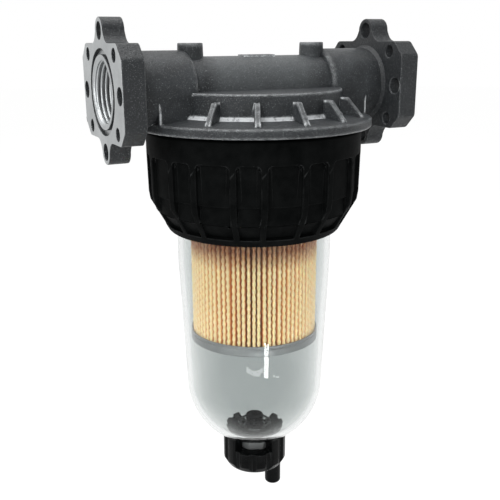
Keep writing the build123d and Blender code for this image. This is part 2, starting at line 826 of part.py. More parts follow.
with BuildPart() as drain_knob:
    with BuildSketch(radial_plane(0)) as knob_section:
        with BuildLine():
            ear_top = ball_level(knob_radius, bowl_end_radius + running_gap)
            recess_top = ball_level(knob_recess_radius, bowl_end_radius + running_gap)
            middle = (knob_radius + knob_recess_radius) / 2
            Polyline(
                (0, knob_bottom),
                (knob_end_radius, knob_bottom),
                (knob_radius, knob_bottom + knob_taper_height),
                (knob_radius, ear_top),
            )
            ThreePointArc(
                (knob_radius, ear_top),
                (middle, ball_level(middle, bowl_end_radius + running_gap)),
                (knob_recess_radius, recess_top),
            )
            Polyline(
                (knob_recess_radius, recess_top),
                (knob_recess_radius, knob_deck),
                (0, knob_deck),
                (0, knob_bottom),
            )
        make_face()
    revolve(knob_section.sketch, axis=bowl_axis)
    # windows between the two ears
    for half_turn in (0, 180):
        window_edge = knob_window_direction + half_turn - knob_window_angle / 2
        window_foot = bowl_spigot_end + knob_window_rise
        with BuildSketch(radial_plane(window_edge)) as window:
            with BuildLine():
                Polyline(
                    (knob_recess_radius - cut_overrun, window_foot),
                    (knob_radius + cut_overrun, window_foot),
                    (knob_radius + cut_overrun, ear_top + cut_overrun),
                    (knob_recess_radius - cut_overrun, ear_top + cut_overrun),
                    close=True,
                )
            make_face()
        revolve(
            window.sketch,
            axis=bowl_axis,
            revolution_arc=knob_window_angle,
            mode=Mode.SUBTRACT,
        )
    # hose stub
    with BuildSketch(level(stub_end)) as stub_plan:
        with Locations((stub_offset_x, stub_offset_y)):
            Circle(stub_radius)
    extrude(stub_plan.sketch, amount=knob_bottom - stub_end + stub_end_round)
    tip = drain_knob.edges().group_by(Axis.Z)[0]
    fillet(tip, stub_end_round)
    # grip flutes
    flute_circle = knob_radius + knob_flute_radius - knob_flute_depth
    with BuildSketch(level(knob_bottom)) as flutes:
        with PolarLocations(flute_circle, knob_flutes):
            Circle(knob_flute_radius)
    extrude(flutes.sketch, amount=ear_top - knob_bottom, mode=Mode.SUBTRACT)
    # stem bore with its ring groove, valve chamber and the way to the stub
    turned(
        [
            (0, knob_deck),
            (stem_radius + grip_gap, knob_deck),
            (stem_radius + grip_gap, ring_groove_top),
            (ring_groove_radius, ring_groove_top),
            (ring_groove_radius, ring_groove_foot),
            (stem_radius + grip_gap, ring_groove_foot),
            (stem_radius + grip_gap, knob_chamber_top),
            (knob_chamber_radius, knob_chamber_top),
            (knob_chamber_radius, knob_chamber_floor),
            (0, knob_chamber_floor),
        ],
        mode=Mode.SUBTRACT,
    )
    with BuildSketch(level(stub_end)) as stub_bore:
        with Locations((stub_offset_x, stub_offset_y)):
            Circle(stub_bore_radius)
    extrude(stub_bore.sketch, amount=knob_chamber_top - stub_end, mode=Mode.SUBTRACT)
    channel_level = knob_chamber_top - stub_channel_radius - running_gap
    channel_plane = Plane(origin=(axis_x, 0, channel_level), z_dir=(stub_offset_x, stub_offset_y, 0))
    with BuildSketch(channel_plane) as channel:
        Circle(stub_channel_radius)
    extrude(
        channel.sketch,
        amount=math.hypot(stub_offset_x, stub_offset_y),
        mode=Mode.SUBTRACT,
    )
write(drain_knob, "drain_knob")

with BuildPart() as drain_knob_ring:
    ring(
        knob_ring_section / 2 - seat_gap / 2,
        stem_radius + seat_gap / 2 + knob_ring_section / 2,
        (ring_groove_top + ring_groove_foot) / 2,
    )
write(drain_knob_ring, "drain_knob_ring")
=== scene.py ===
"""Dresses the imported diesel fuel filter: cast head, ring nut, clear bowl, cartridge and drain tap.

Lengths in the sub-assemblies are millimetres. Those of meshes, lamps, the camera and the ramps
and pitches of the finishes are metres.
"""

from __future__ import annotations

import logging
import math
from dataclasses import dataclass
from enum import Enum

import bmesh
import bpy
import numpy as np
from mathutils import Matrix, Vector

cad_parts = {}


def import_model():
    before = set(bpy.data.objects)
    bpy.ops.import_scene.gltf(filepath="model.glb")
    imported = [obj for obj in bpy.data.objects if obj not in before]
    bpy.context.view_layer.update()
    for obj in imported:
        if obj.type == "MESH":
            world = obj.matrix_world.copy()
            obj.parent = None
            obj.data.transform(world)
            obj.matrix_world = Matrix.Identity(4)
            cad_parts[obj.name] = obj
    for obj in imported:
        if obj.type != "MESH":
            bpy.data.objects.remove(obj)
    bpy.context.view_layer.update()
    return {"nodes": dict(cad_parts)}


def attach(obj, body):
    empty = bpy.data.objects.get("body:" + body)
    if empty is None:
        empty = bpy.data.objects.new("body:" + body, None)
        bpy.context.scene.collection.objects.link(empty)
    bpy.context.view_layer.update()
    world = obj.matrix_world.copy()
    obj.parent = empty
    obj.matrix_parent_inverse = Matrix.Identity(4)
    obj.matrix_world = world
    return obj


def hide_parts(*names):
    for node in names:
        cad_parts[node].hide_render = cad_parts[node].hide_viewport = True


MM = 0.001
AXIS_X = 83.0
AXIS = (AXIS_X * MM, 0.0, 0.0)
TURN = 2 * math.pi
WELD = 2e-6
CORNER_POINTS = 5
LONGEST_REACH = 0.45
BEVEL_SEGMENTS = 2
SHARP = math.radians(28.0)
FLAT = math.radians(0.3)
SEED = 11
LOG = logging.getLogger("filter")

Triple = tuple[float, float, float]
Pair = tuple[float, float]
Colour = Triple
Numbers = tuple[float, ...]
Ramp = Numbers
Socket = bpy.types.NodeSocket
Node = bpy.types.Node
Piece = bpy.types.Object
Material = bpy.types.Material


class Body(Enum):
    """The bodies that carry dressed pieces."""

    HEAD = "head"
    CARTRIDGE = "cartridge"
    BOWL = "bowl"
    NUT = "nut"
    TAP = "tap"


# ---- shapes


@dataclass
class Surface:
    """Points and faces of one mesh, with coincident points joined."""

    points: np.ndarray
    faces: list[list[int]]

    @classmethod
    def from_grid(cls, grid: np.ndarray, closed_rows: bool = True) -> Surface:
        """Joins a grid of points, whose columns run round, into quads.

        Face (i, j) has corners (i, j), (i, j+1), (i+1, j+1) and (i+1, j), the last column is
        joined to the first, and so is the last row where the rows are closed. Points that fall
        together are made one, so a pole row becomes a fan of triangles, and the faces are
        turned round where six times the volume, the sum of a . (b x c) + a . (c x d) over the
        quads, comes out negative.

        Args:
            grid: Points in metres, shaped (rows, columns, 3).
            closed_rows: Whether the last row joins the first.

        Returns:
            The welded surface with its faces pointing outwards.
        """
        rows, columns = grid.shape[:2]
        row = np.arange(rows if closed_rows else rows - 1)[:, None]
        column = np.arange(columns)[None, :]
        next_row, next_column = (row + 1) % rows, (column + 1) % columns
        quads = np.stack(
            np.broadcast_arrays(
                row * columns + column,
                row * columns + next_column,
                next_row * columns + next_column,
                next_row * columns + column,
            ),
            axis=-1,
        ).reshape(-1, 4)
        points, back = welded_points(grid.reshape(-1, 3))
        quads = back[quads]
        a, b, c, d = (points[quads[:, corner]] for corner in range(4))
        volume = np.einsum("ij,ij->i", a, np.cross(b, c)) + np.einsum("ij,ij->i", a, np.cross(c, d))
        if volume.sum() < 0:
            quads = quads[:, ::-1]
        same = quads == np.roll(quads, -1, axis=1)
        whole = ~same.any(axis=1)
        fans = quads[same.sum(axis=1) == 1]
        keep = ~(fans == np.roll(fans, -1, axis=1))
        triangles = fans[keep].reshape(-1, 3)
        return cls(points, quads[whole].tolist() + triangles.tolist())

    @classmethod
    def from_node(cls, source: Piece) -> Surface:
        """Reads a CAD node's triangles, joins their loose corners and leaves the node as it is."""
        mesh = source.data
        mesh.calc_loop_triangles()
        points = np.empty(len(mesh.vertices) * 3)
        mesh.vertices.foreach_get("co", points)
        corners = np.empty(len(mesh.loop_triangles) * 3, np.int32)
        mesh.loop_triangles.foreach_get("vertices", corners)
        points, back = welded_points(points.reshape(-1, 3))
        triangles = back[corners.reshape(-1, 3)]
        real = (triangles != np.roll(triangles, -1, axis=1)).all(axis=1)
        return cls(points, triangles[real].tolist())

    def make(self, name: str, *finishes: Material) -> Piece:
        """Puts the surface into a smooth-shaded mesh object at the origin, with its materials."""
        mesh = bpy.data.meshes.new(name)
        mesh.from_pydata(self.points.tolist(), [], self.faces)
        mesh.update()
        mesh.shade_smooth()
        for finish in finishes:
            mesh.materials.append(finish)
        return placed(name, mesh)


def placed(name: str, data: bpy.types.ID) -> Piece:
    """Makes an object of a mesh, lamp or camera and puts it in the scene at the origin."""
    made = bpy.data.objects.new(name, data)
    bpy.context.scene.collection.objects.link(made)
    return made


def welded_points(points: np.ndarray) -> tuple[np.ndarray, np.ndarray]:
    """Joins points within the welding distance: those left, and each old point's new index."""
    keys = np.round(points / WELD).astype(np.int64)
    _, first, back = np.unique(keys, axis=0, return_index=True, return_inverse=True)
    return points[first], back.reshape(-1)


def softened(corners: list[Triple]) -> np.ndarray:
    """Rounds the corners of a closed profile.

    Each corner C is replaced by points of (1-t)^2 A + 2t(1-t) C + t^2 B, where A and B lie at
    the corner's reach from it towards its neighbours, or at the longest reach as a share of
    the way if that is less.

    Args:
        corners: (radius, level, reach) of each corner.

    Returns:
        The profile's (radius, level) points, CORNER_POINTS for each corner.
    """
    table = np.array(corners, float)
    corner, reach = table[:, :2], table[:, 2:]
    share = np.linspace(0.0, 1.0, CORNER_POINTS)[None, :, None]
    ends = []
    for shift in (1, -1):
        towards = np.roll(corner, shift, axis=0) - corner
        length = np.linalg.norm(towards, axis=1, keepdims=True)
        ends.append(corner + towards * np.minimum(reach / length, LONGEST_REACH))
    before, after, middle = ends[0][:, None], ends[1][:, None], corner[:, None]
    curve = (1 - share) ** 2 * before + 2 * share * (1 - share) * middle + share**2 * after
    return curve.reshape(-1, 2)


def in_metres(*parts: np.ndarray) -> np.ndarray:
    """Joins X, Y and Z in millimetres, shaped to broadcast, into a grid of points in metres."""
    return np.stack(np.broadcast_arrays(*parts), axis=-1) * MM


def turned(radius: np.ndarray, level: np.ndarray, angle: np.ndarray) -> np.ndarray:
    """Places points about the bowl axis: x = axis + r cos a, y = r sin a, z = level."""
    return in_metres(AXIS_X + radius * np.cos(angle), radius * np.sin(angle), level)


def about_port(along: np.ndarray, radius: np.ndarray, angle: np.ndarray) -> np.ndarray:
    """Places points about the port axis: x = along, y = r cos a, z = r sin a."""
    return in_metres(along, radius * np.cos(angle), radius * np.sin(angle))


def turns(count: int) -> np.ndarray:
    """Angles of one full turn in even steps, without the last."""
    return np.arange(count) * (TURN / count)


def fade(value: np.ndarray, start: float, end: float) -> np.ndarray:
    """Falls smoothly from 1 at start to 0 at end: 1 - (3t^2 - 2t^3)."""
    t = np.clip((value - start) / (end - start), 0.0, 1.0)
    return 1.0 - t * t * (3.0 - 2.0 * t)


def soften_edges(piece: Piece, width: float, hollow: bool = True) -> None:
    """Rounds a piece's sharp edges and evens its shading.

    Args:
        piece: The piece to finish.
        width: Width of the rounding in millimetres.
        hollow: Whether the edges that point inwards are rounded too.
    """
    weigh_edges(piece, hollow)
    bevel = piece.modifiers.new("edges", "BEVEL")
    bevel.width = width * MM
    bevel.segments = BEVEL_SEGMENTS
    bevel.limit_method = "WEIGHT"
    bevel.use_clamp_overlap = False
    bevel.miter_outer = "MITER_ARC"
    even_shading(piece)


def weigh_edges(piece: Piece, hollow: bool) -> None:
    """Marks the edges to round; those that point inwards and stay sharp split the shading."""
    shape = bmesh.new()
    shape.from_mesh(piece.data)
    weight = shape.edges.layers.float.new("bevel_weight_edge")
    for edge in shape.edges:
        if len(edge.link_faces) == 2 and edge.calc_face_angle(0.0) > SHARP:
            rounded = hollow or edge.is_convex
            edge[weight] = float(rounded)
            edge.smooth = rounded
    shape.to_mesh(piece.data)
    shape.free()


def even_shading(piece: Piece) -> None:
    """Lets each point's shading follow its largest faces, so that long walls stay straight."""
    weighted = piece.modifiers.new("shading", "WEIGHTED_NORMAL")
    weighted.mode = "FACE_AREA"
    weighted.keep_sharp = True


def flat_faces_joined(piece: Piece) -> None:
    """Joins pairs of triangles that lie in one plane, so that edges can be rounded."""
    shape = bmesh.new()
    shape.from_mesh(piece.data)
    bmesh.ops.join_triangles(
        shape, faces=shape.faces[:], angle_face_threshold=FLAT, angle_shape_threshold=math.pi
    )
    shape.to_mesh(piece.data)
    shape.free()


def face_rows(piece: Piece, what: str) -> np.ndarray:
    """Reads each face's "center" or "normal" as a row of an array."""
    values = np.empty(len(piece.data.polygons) * 3)
    piece.data.polygons.foreach_get(what, values)
    return values.reshape(-1, 3)


def use_second_finish(piece: Piece, chosen: np.ndarray) -> None:
    """Gives the chosen faces the piece's second material, and the others its first."""
    piece.data.polygons.foreach_set("material_index", chosen.astype(np.int32))
    piece.data.update()


# ---- finishes


@dataclass
class Graph:
    """A node tree with short ways to add its nodes."""

    tree: bpy.types.NodeTree

    @classmethod
    def cleared(cls, owner: Material | bpy.types.World) -> Graph:
        """Switches a material or world to nodes and empties its tree."""
        owner.use_nodes = True
        owner.node_tree.nodes.clear()
        return cls(owner.node_tree)

    def node(
        self, kind: str, feeds: dict[str | int, object] | None = None, **settings: object
    ) -> Node:
        """Adds a node with values or sockets for its inputs and settings for its properties."""
        made = self.tree.nodes.new(kind)
        for key, value in settings.items():
            setattr(made, key, value)
        for key, value in (feeds or {}).items():
            self.feed(made.inputs[key], value)
        return made

    def feed(self, socket: Socket, value: object) -> None:
        """Links a socket to an input, or sets the input's own value."""
        if isinstance(value, Socket):
            self.tree.links.new(value, socket)
        elif isinstance(value, tuple) and len(value) == 3 and socket.type == "RGBA":
            socket.default_value = (*value, 1.0)
        else:
            socket.default_value = value

    def fill(self, node: Node, **values: object) -> None:
        """Feeds a node's inputs by their names, with _ for a space."""
        for name, value in values.items():
            self.feed(node.inputs[name.replace("_", " ")], value)

    def math(self, operation: str, *values: object, clamp: bool = False) -> Socket:
        """Adds a Math node and returns its value."""
        feeds = dict(enumerate(values))
        return self.node("ShaderNodeMath", feeds, operation=operation, use_clamp=clamp).outputs[0]

    def product(self, first: object, *others: object) -> Socket:
        """Multiplies values in turn."""
        for other in others:
            first = self.math("MULTIPLY", first, other)
        return first

    def vector(self, operation: str, *values: object) -> Node:
        """Adds a Vector Math node."""
        return self.node("ShaderNodeVectorMath", dict(enumerate(values)), operation=operation)

    def mix(self, factor: object, first: object, second: object) -> Socket:
        """Adds a colour mix and returns its result."""
        made = self.node("ShaderNodeMix", {0: factor, 6: first, 7: second}, data_type="RGBA")
        return made.outputs[2]

    def spread(
        self, value: object, low: float, high: float, at_low: float = 0.0, at_high: float = 1.0
    ) -> Socket:
        """Maps a value's range on to another, held at both ends, and returns it."""
        feeds = {0: value, 1: low, 2: high, 3: at_low, 4: at_high}
        return self.node("ShaderNodeMapRange", feeds, clamp=True).outputs[0]

    def scaled_by(self, mask: object, times: float) -> Socket:
        """1 outside a mask and a number inside it."""
        return self.spread(mask, 0.0, 1.0, 1.0, times)

    def noise(
        self, place: object, scale: object, detail: float = 3.0, rough: float = 0.5
    ) -> Socket:
        """Adds a noise texture and returns its factor."""
        feeds = {"Vector": place, "Scale": scale, "Detail": detail, "Roughness": rough}
        return self.node("ShaderNodeTexNoise", feeds).outputs[0]

    def place(self) -> Socket:
        """The piece's own Object coordinates."""
        return self.node("ShaderNodeTexCoord").outputs["Object"]

    def parts(self) -> tuple[Socket, ...]:
        """X, Y and Z of the piece's own Object coordinates."""
        return tuple(self.node("ShaderNodeSeparateXYZ", {0: self.place()}).outputs)

    def off_axis(self) -> Socket:
        """Distance from the bowl axis."""
        flat = self.vector("MULTIPLY", self.place(), (1.0, 1.0, 0.0)).outputs[0]
        return self.vector("DISTANCE", flat, AXIS).outputs["Value"]

    def bump(
        self, height: object, distance: float, strength: float = 1.0, normal: Socket | None = None
    ) -> Socket:
        """Adds a bump of a height in millimetres and returns its normal."""
        feeds: dict[str | int, object] = {
            "Height": height, "Distance": distance * MM, "Strength": strength
        }
        if normal is not None:
            feeds["Normal"] = normal
        return self.node("ShaderNodeBump", feeds).outputs[0]


class Effect(Enum):
    """Effects that several finishes share, each a node group built once."""

    GRAIN = "surface_grain"
    WEAR = "edge_wear"
    TURNING = "turning_marks"


def new_group(
    effect: Effect, inputs: dict[str, float], outputs: tuple[str, ...]
) -> tuple[Graph, Node, Node]:
    """Starts an effect's group with float inputs at their usual values, and its two end nodes."""
    tree = bpy.data.node_groups.new(effect.value, "ShaderNodeTree")
    for name, value in inputs.items():
        socket = tree.interface.new_socket(name, in_out="INPUT", socket_type="NodeSocketFloat")
        socket.default_value = value
    for name in outputs:
        tree.interface.new_socket(name, in_out="OUTPUT", socket_type="NodeSocketFloat")
    graph = Graph(tree)
    return graph, graph.node("NodeGroupInput"), graph.node("NodeGroupOutput")


COARSE_SCALE, SLOW_SCALE, SPECK_SCALE = 0.28, 0.05, 1.6
TONE_SPREAD: Ramp = (0.3, 0.7)
SPECK_SPREAD: Ramp = (0.62, 0.74)
CORNER_SPREAD: Ramp = (0.16, 0.40)
PATCH_SPREAD: Ramp = (0.38, 0.60, 0.2, 1.0)
CHATTER_SCALE = 900.0


def grain_group() -> None:
    """Builds the grain: fine and coarse noise as height, slow noise as tone, and specks."""
    inputs = {"Size": 1.0, "Coarse": 0.4}
    graph, given, out = new_group(Effect.GRAIN, inputs, ("Height", "Tone", "Speck"))
    place = graph.place()
    scale = graph.math("DIVIDE", 1.0 / MM, given.outputs["Size"])
    fine = graph.noise(place, scale, detail=4.0, rough=0.6)
    coarse = graph.noise(place, graph.product(scale, COARSE_SCALE), detail=2.0)
    slow = graph.noise(place, graph.product(scale, SLOW_SCALE), detail=4.0, rough=0.6)
    speck = graph.noise(place, graph.product(scale, SPECK_SCALE), detail=1.0)
    height = graph.math("ADD", fine, graph.product(coarse, given.outputs["Coarse"]))
    tone = graph.spread(slow, *TONE_SPREAD)
    graph.fill(out, Height=height, Tone=tone, Speck=graph.spread(speck, *SPECK_SPREAD))


def wear_group() -> None:
    """Builds the edge wear: where the body behind the skin is thin, as at a corner, broken up."""
    inputs = {"Reach": 0.002, "Strength": 1.0, "Breakup": 300.0}
    graph, given, out = new_group(Effect.WEAR, inputs, ("Mask",))
    reach = {"Distance": given.outputs["Reach"]}
    depth = graph.node("ShaderNodeAmbientOcclusion", reach, samples=8, inside=True)
    corner = graph.math("SUBTRACT", 1.0, depth.outputs["AO"])
    edge = graph.product(graph.spread(corner, *CORNER_SPREAD), given.outputs["Strength"])
    patch = graph.noise(graph.place(), given.outputs["Breakup"], detail=5.0, rough=0.75)
    broken = graph.spread(patch, *PATCH_SPREAD)
    graph.fill(out, Mask=graph.math("MULTIPLY", edge, broken, clamp=True))


def turning_group() -> None:
    """Builds the marks that a lathe leaves: rings about an axis, from the sine of the radius."""
    inputs = {"Pitch": 0.0004, "Centre X": 0.0, "Use X": 0.0, "Use Z": 1.0}
    graph, given, out = new_group(Effect.TURNING, inputs, ("Height",))
    centre = graph.node("ShaderNodeCombineXYZ", {0: given.outputs["Centre X"]}).outputs[0]
    shares = {0: given.outputs["Use X"], 1: 1.0, 2: given.outputs["Use Z"]}
    share = graph.node("ShaderNodeCombineXYZ", shares).outputs[0]
    off = graph.vector("SUBTRACT", graph.place(), centre).outputs[0]
    flat = graph.vector("MULTIPLY", off, share).outputs[0]
    radius = graph.vector("LENGTH", flat).outputs["Value"]
    phase = graph.math("DIVIDE", radius, given.outputs["Pitch"])
    ring = graph.math("SINE", graph.product(phase, TURN))
    chatter = graph.noise(graph.place(), CHATTER_SCALE, detail=2.0)
    graph.fill(out, Height=graph.math("ADD", ring, chatter))


BUILDERS = {Effect.GRAIN: grain_group, Effect.WEAR: wear_group, Effect.TURNING: turning_group}


def effect(graph: Graph, kind: Effect, **values: object) -> bpy.types.NodeOutputs:
    """Places a shared effect, whose group is built the first time, and returns its outputs."""
    if kind.value not in bpy.data.node_groups:
        BUILDERS[kind]()
    made = graph.node("ShaderNodeGroup")
    made.node_tree = bpy.data.node_groups[kind.value]
    graph.fill(made, **values)
    return made.outputs


@dataclass(frozen=True)
class Finish:
    """A surface finish. Each kind adds its nodes in dress().

    A ramp in a finish is a low end, a high end and the values there, 0 and 1 if not given. It
    is held beyond its ends, and those that are lengths are in metres.
    """

    name: str

    def build(self) -> Material:
        """Makes the material."""
        material = bpy.data.materials.new(self.name)
        graph = Graph.cleared(material)
        shader = graph.node("ShaderNodeBsdfPrincipled")
        self.dress(graph, shader)
        graph.node("ShaderNodeOutputMaterial", {0: self.surface(graph, shader)})
        return material

    def dress(self, graph: Graph, shader: Node) -> None:
        """Feeds the shader. Each finish has its own."""
        raise NotImplementedError

    def surface(self, graph: Graph, shader: Node) -> Socket:
        """What the material shows: the shader as it is, unless a finish adds to it."""
        return shader.outputs[0]


@dataclass(frozen=True)
class CastPaint(Finish):
    """Dark paint over a sand-cast skin, rubbed pale along its edges, partly as painted highlights.

    Its ramps run over |x - axis| (along), |y| (aside), z (level) and the distance from the
    bowl axis (off). The wear is told apart for the flanges, the gussets and the necks' steps:
    on the gussets it pales the whole crests as painted top light, and at the necks' steps it
    widens into a painted glint. The pipe between the necks is painted lighter as a painted sheen.
    """

    dark: Colour = (0.010, 0.011, 0.012)
    light: Colour = (0.022, 0.0245, 0.0265)
    fleck: Colour = (0.17, 0.18, 0.185)
    # pale of the rubbed edges, which is also the colour of the painted highlights
    rubbed: Colour = (0.50, 0.52, 0.53)
    # painted sheen: lighter paint on the pipe between the necks
    tube_sheen: Colour = (0.085, 0.092, 0.095)
    flange_wear: Ramp = (0.062, 0.068, 2.0, 0.6)
    flange_reach: Ramp = (0.062, 0.068, 0.0018, 0.0008)
    flange_tone: Ramp = (0.062, 0.068, 1.0, 0.2)
    crown_level: Ramp = (0.0160, 0.0168, 1.0, 0.15)
    gusset_from: Ramp = (0.0492, 0.0505)
    gusset_to: Ramp = (0.058, 0.061, 1.0, 0.0)
    # painted top light: the wear reaches across the gussets' whole crests
    gusset_light_strength: float = 0.19
    gusset_light_reach: float = 1.2
    neck_level: Ramp = (-0.006, -0.003)
    neck_along: Ramp = (0.040, 0.045, 1.0, 0.0)
    neck_aside: Ramp = (0.0195, 0.021, 1.0, 0.0)
    # painted glint: a wider pale band at the necks' steps
    neck_glint_reach: float = 1.6
    tube_sheen_along: Ramp = (0.024, 0.034, 0.35, 0.0)
    tube_sheen_aside: Ramp = (0.0168, 0.0178, 1.0, 0.0)
    breakup: float = 420.0
    specks: float = 0.55
    rough: Ramp = (0.5, 1.3, 0.32, 0.50)

    def dress(self, graph: Graph, shader: Node) -> None:
        """Paint tone from the grain, specks, worn edges with painted highlights, a painted sheen on
        the pipe between the necks, and the cast skin's bump.
        """
        grain = effect(graph, Effect.GRAIN, Size=0.7, Coarse=0.9)
        across, aside, level = graph.parts()
        along = graph.math("ABSOLUTE", graph.math("SUBTRACT", across, AXIS[0]))
        aside = graph.math("ABSOLUTE", aside)
        worn = self.worn(graph, along, aside, level)
        tone = graph.product(grain["Tone"], graph.spread(along, *self.flange_tone))
        paint = graph.mix(tone, self.dark, self.light)
        # painted sheen: the pipe between the necks is painted lighter, fading out towards the necks
        tube_sheen_mask = graph.product(
            graph.spread(along, *self.tube_sheen_along), graph.spread(aside, *self.tube_sheen_aside)
        )
        paint = graph.mix(tube_sheen_mask, paint, self.tube_sheen)
        paint = graph.mix(graph.product(grain["Speck"], self.specks), paint, self.fleck)
        graph.fill(
            shader,
            # rubbed edges, partly real wear and partly painted highlights
            Base_Color=graph.mix(worn, paint, self.rubbed),
            Roughness=graph.spread(grain["Height"], *self.rough),
            Specular_IOR_Level=0.2,
            Normal=graph.bump(grain["Height"], 0.3),
        )

    def worn(self, graph: Graph, along: Socket, aside: Socket, level: Socket) -> Socket:
        """Where the paint is rubbed through, with painted highlights on the gussets' crests and
        necks' steps.

        Args:
            graph: The material's graph.
            along: Distance from the bowl axis along the ports.
            aside: Distance from the ports' plane.
            level: Height.

        Returns:
            The mask of the rubbed edges and of the painted highlights.
        """
        off = graph.off_axis()
        # painted top light on the gussets' crests
        gusset_crest_light = graph.product(
            graph.spread(off, *self.gusset_from), graph.spread(off, *self.gusset_to)
        )
        # painted glint along the necks' steps
        neck_step_glint = graph.product(
            graph.spread(level, *self.neck_level),
            graph.spread(along, *self.neck_along),
            graph.spread(aside, *self.neck_aside),
        )
        strength = graph.product(
            graph.spread(along, *self.flange_wear),
            graph.spread(level, *self.crown_level),
            graph.scaled_by(gusset_crest_light, self.gusset_light_strength),
        )
        reach = graph.product(
            graph.spread(along, *self.flange_reach),
            graph.scaled_by(gusset_crest_light, self.gusset_light_reach),
            graph.scaled_by(neck_step_glint, self.neck_glint_reach),
        )
        wear = effect(graph, Effect.WEAR, Reach=reach, Strength=strength, Breakup=self.breakup)
        return wear["Mask"]


@dataclass(frozen=True)
class MachinedMetal(Finish):
    """Bare turned aluminium with fine tool rings about the port axis."""

    metal: Colour = (0.45, 0.465, 0.47)
    dull: Colour = (0.33, 0.345, 0.35)
    pitch: float = 0.0005
    rough: Ramp = (0.4, 1.0, 0.30, 0.46)

    def dress(self, graph: Graph, shader: Node) -> None:
        """Metal tone from the grain and rings from the turning marks."""
        grain = effect(graph, Effect.GRAIN, Size=1.4, Coarse=0.5)
        rings = effect(graph, Effect.TURNING, Pitch=self.pitch)
        graph.fill(
            shader,
            Base_Color=graph.mix(grain["Tone"], self.dull, self.metal),
            Metallic=1.0,
            Roughness=graph.spread(grain["Height"], *self.rough),
            Normal=graph.bump(rings["Height"], 0.006, 0.6),
        )


@dataclass(frozen=True)
class MouldedPlastic(Finish):
    """Black moulded plastic with a fine spark-eroded texture and rubbed edges."""

    base: Colour = (0.0009, 0.0011, 0.0011)
    rubbed: Colour = (0.016, 0.017, 0.017)
    rough: Ramp = (0.4, 1.1, 0.50, 0.68)
    gloss: float = 0.016
    relief: float = 0.03
    mottle: float = 0.12
    wear: float = 0.8

    def dress(self, graph: Graph, shader: Node) -> None:
        """Near black with grain in its roughness, bump and tone."""
        grain = effect(graph, Effect.GRAIN, Size=0.35, Coarse=0.5)
        edge = effect(graph, Effect.WEAR, Reach=0.0008, Strength=1.2, Breakup=420.0)
        paint = graph.mix(graph.product(grain["Tone"], self.mottle), self.base, self.rubbed)
        rub = graph.product(edge["Mask"], self.wear)
        graph.fill(
            shader,
            Base_Color=graph.mix(rub, paint, self.rubbed),
            Roughness=graph.spread(grain["Height"], *self.rough),
            Specular_IOR_Level=self.gloss,
            Normal=graph.bump(grain["Height"], self.relief, 0.6),
        )


@dataclass(frozen=True)
class ClearPlastic(Finish):
    """Clear moulded plastic with a faint grey-green colour, deepened face-on and paled at grazing
    angles as painted shade, and flow ripple.
    """

    # the bowl's faint colour, made deeper as painted shade for face-on views
    tint_and_shade: Colour = (0.53, 0.56, 0.555)
    # painted light: pale transmission at grazing angles
    edge: Colour = (0.96, 0.97, 0.96)
    mirrored: Colour = (0.25, 0.25, 0.25)
    passed: Colour = (0.97, 0.975, 0.97)
    flow_scale: float = 38.0
    flow_tint: float = 0.12
    haze_scale: float = 140.0
    # range of the painted shade's fade from face-on to grazing
    facing: Ramp = (0.15, 0.75)
    rough: Ramp = (0.3, 0.7, 0.004, 0.014)

    def dress(self, graph: Graph, shader: Node) -> None:
        """Transmitting plastic with a rippled, polished skin."""
        flow = graph.noise(graph.place(), self.flow_scale, detail=2.0)
        haze = graph.noise(graph.place(), self.haze_scale)
        facing = graph.node("ShaderNodeLayerWeight", {"Blend": 0.5}).outputs["Facing"]
        tint_and_shade = graph.mix(graph.product(flow, self.flow_tint), self.tint_and_shade, self.edge)
        graph.fill(
            shader,
            # painted shade: darker face-on, paler towards grazing angles
            Base_Color=graph.mix(graph.spread(facing, *self.facing), tint_and_shade, self.edge),
            Roughness=graph.spread(haze, *self.rough),
            IOR=1.49,
            Specular_IOR_Level=0.12,
            Specular_Tint=self.mirrored,
            Transmission_Weight=1.0,
            Normal=graph.bump(flow, 0.2, 0.2),
        )

    def surface(self, graph: Graph, shader: Node) -> Socket:
        """Lets the lamps through: a shadow ray meets a plain transparent shader."""
        lamp_ray = graph.node("ShaderNodeLightPath").outputs["Is Shadow Ray"]
        through = graph.node("ShaderNodeBsdfTransparent", {"Color": self.passed})
        feeds = {0: lamp_ray, 1: shader.outputs[0], 2: through.outputs[0]}
        return graph.node("ShaderNodeMixShader", feeds).outputs[0]


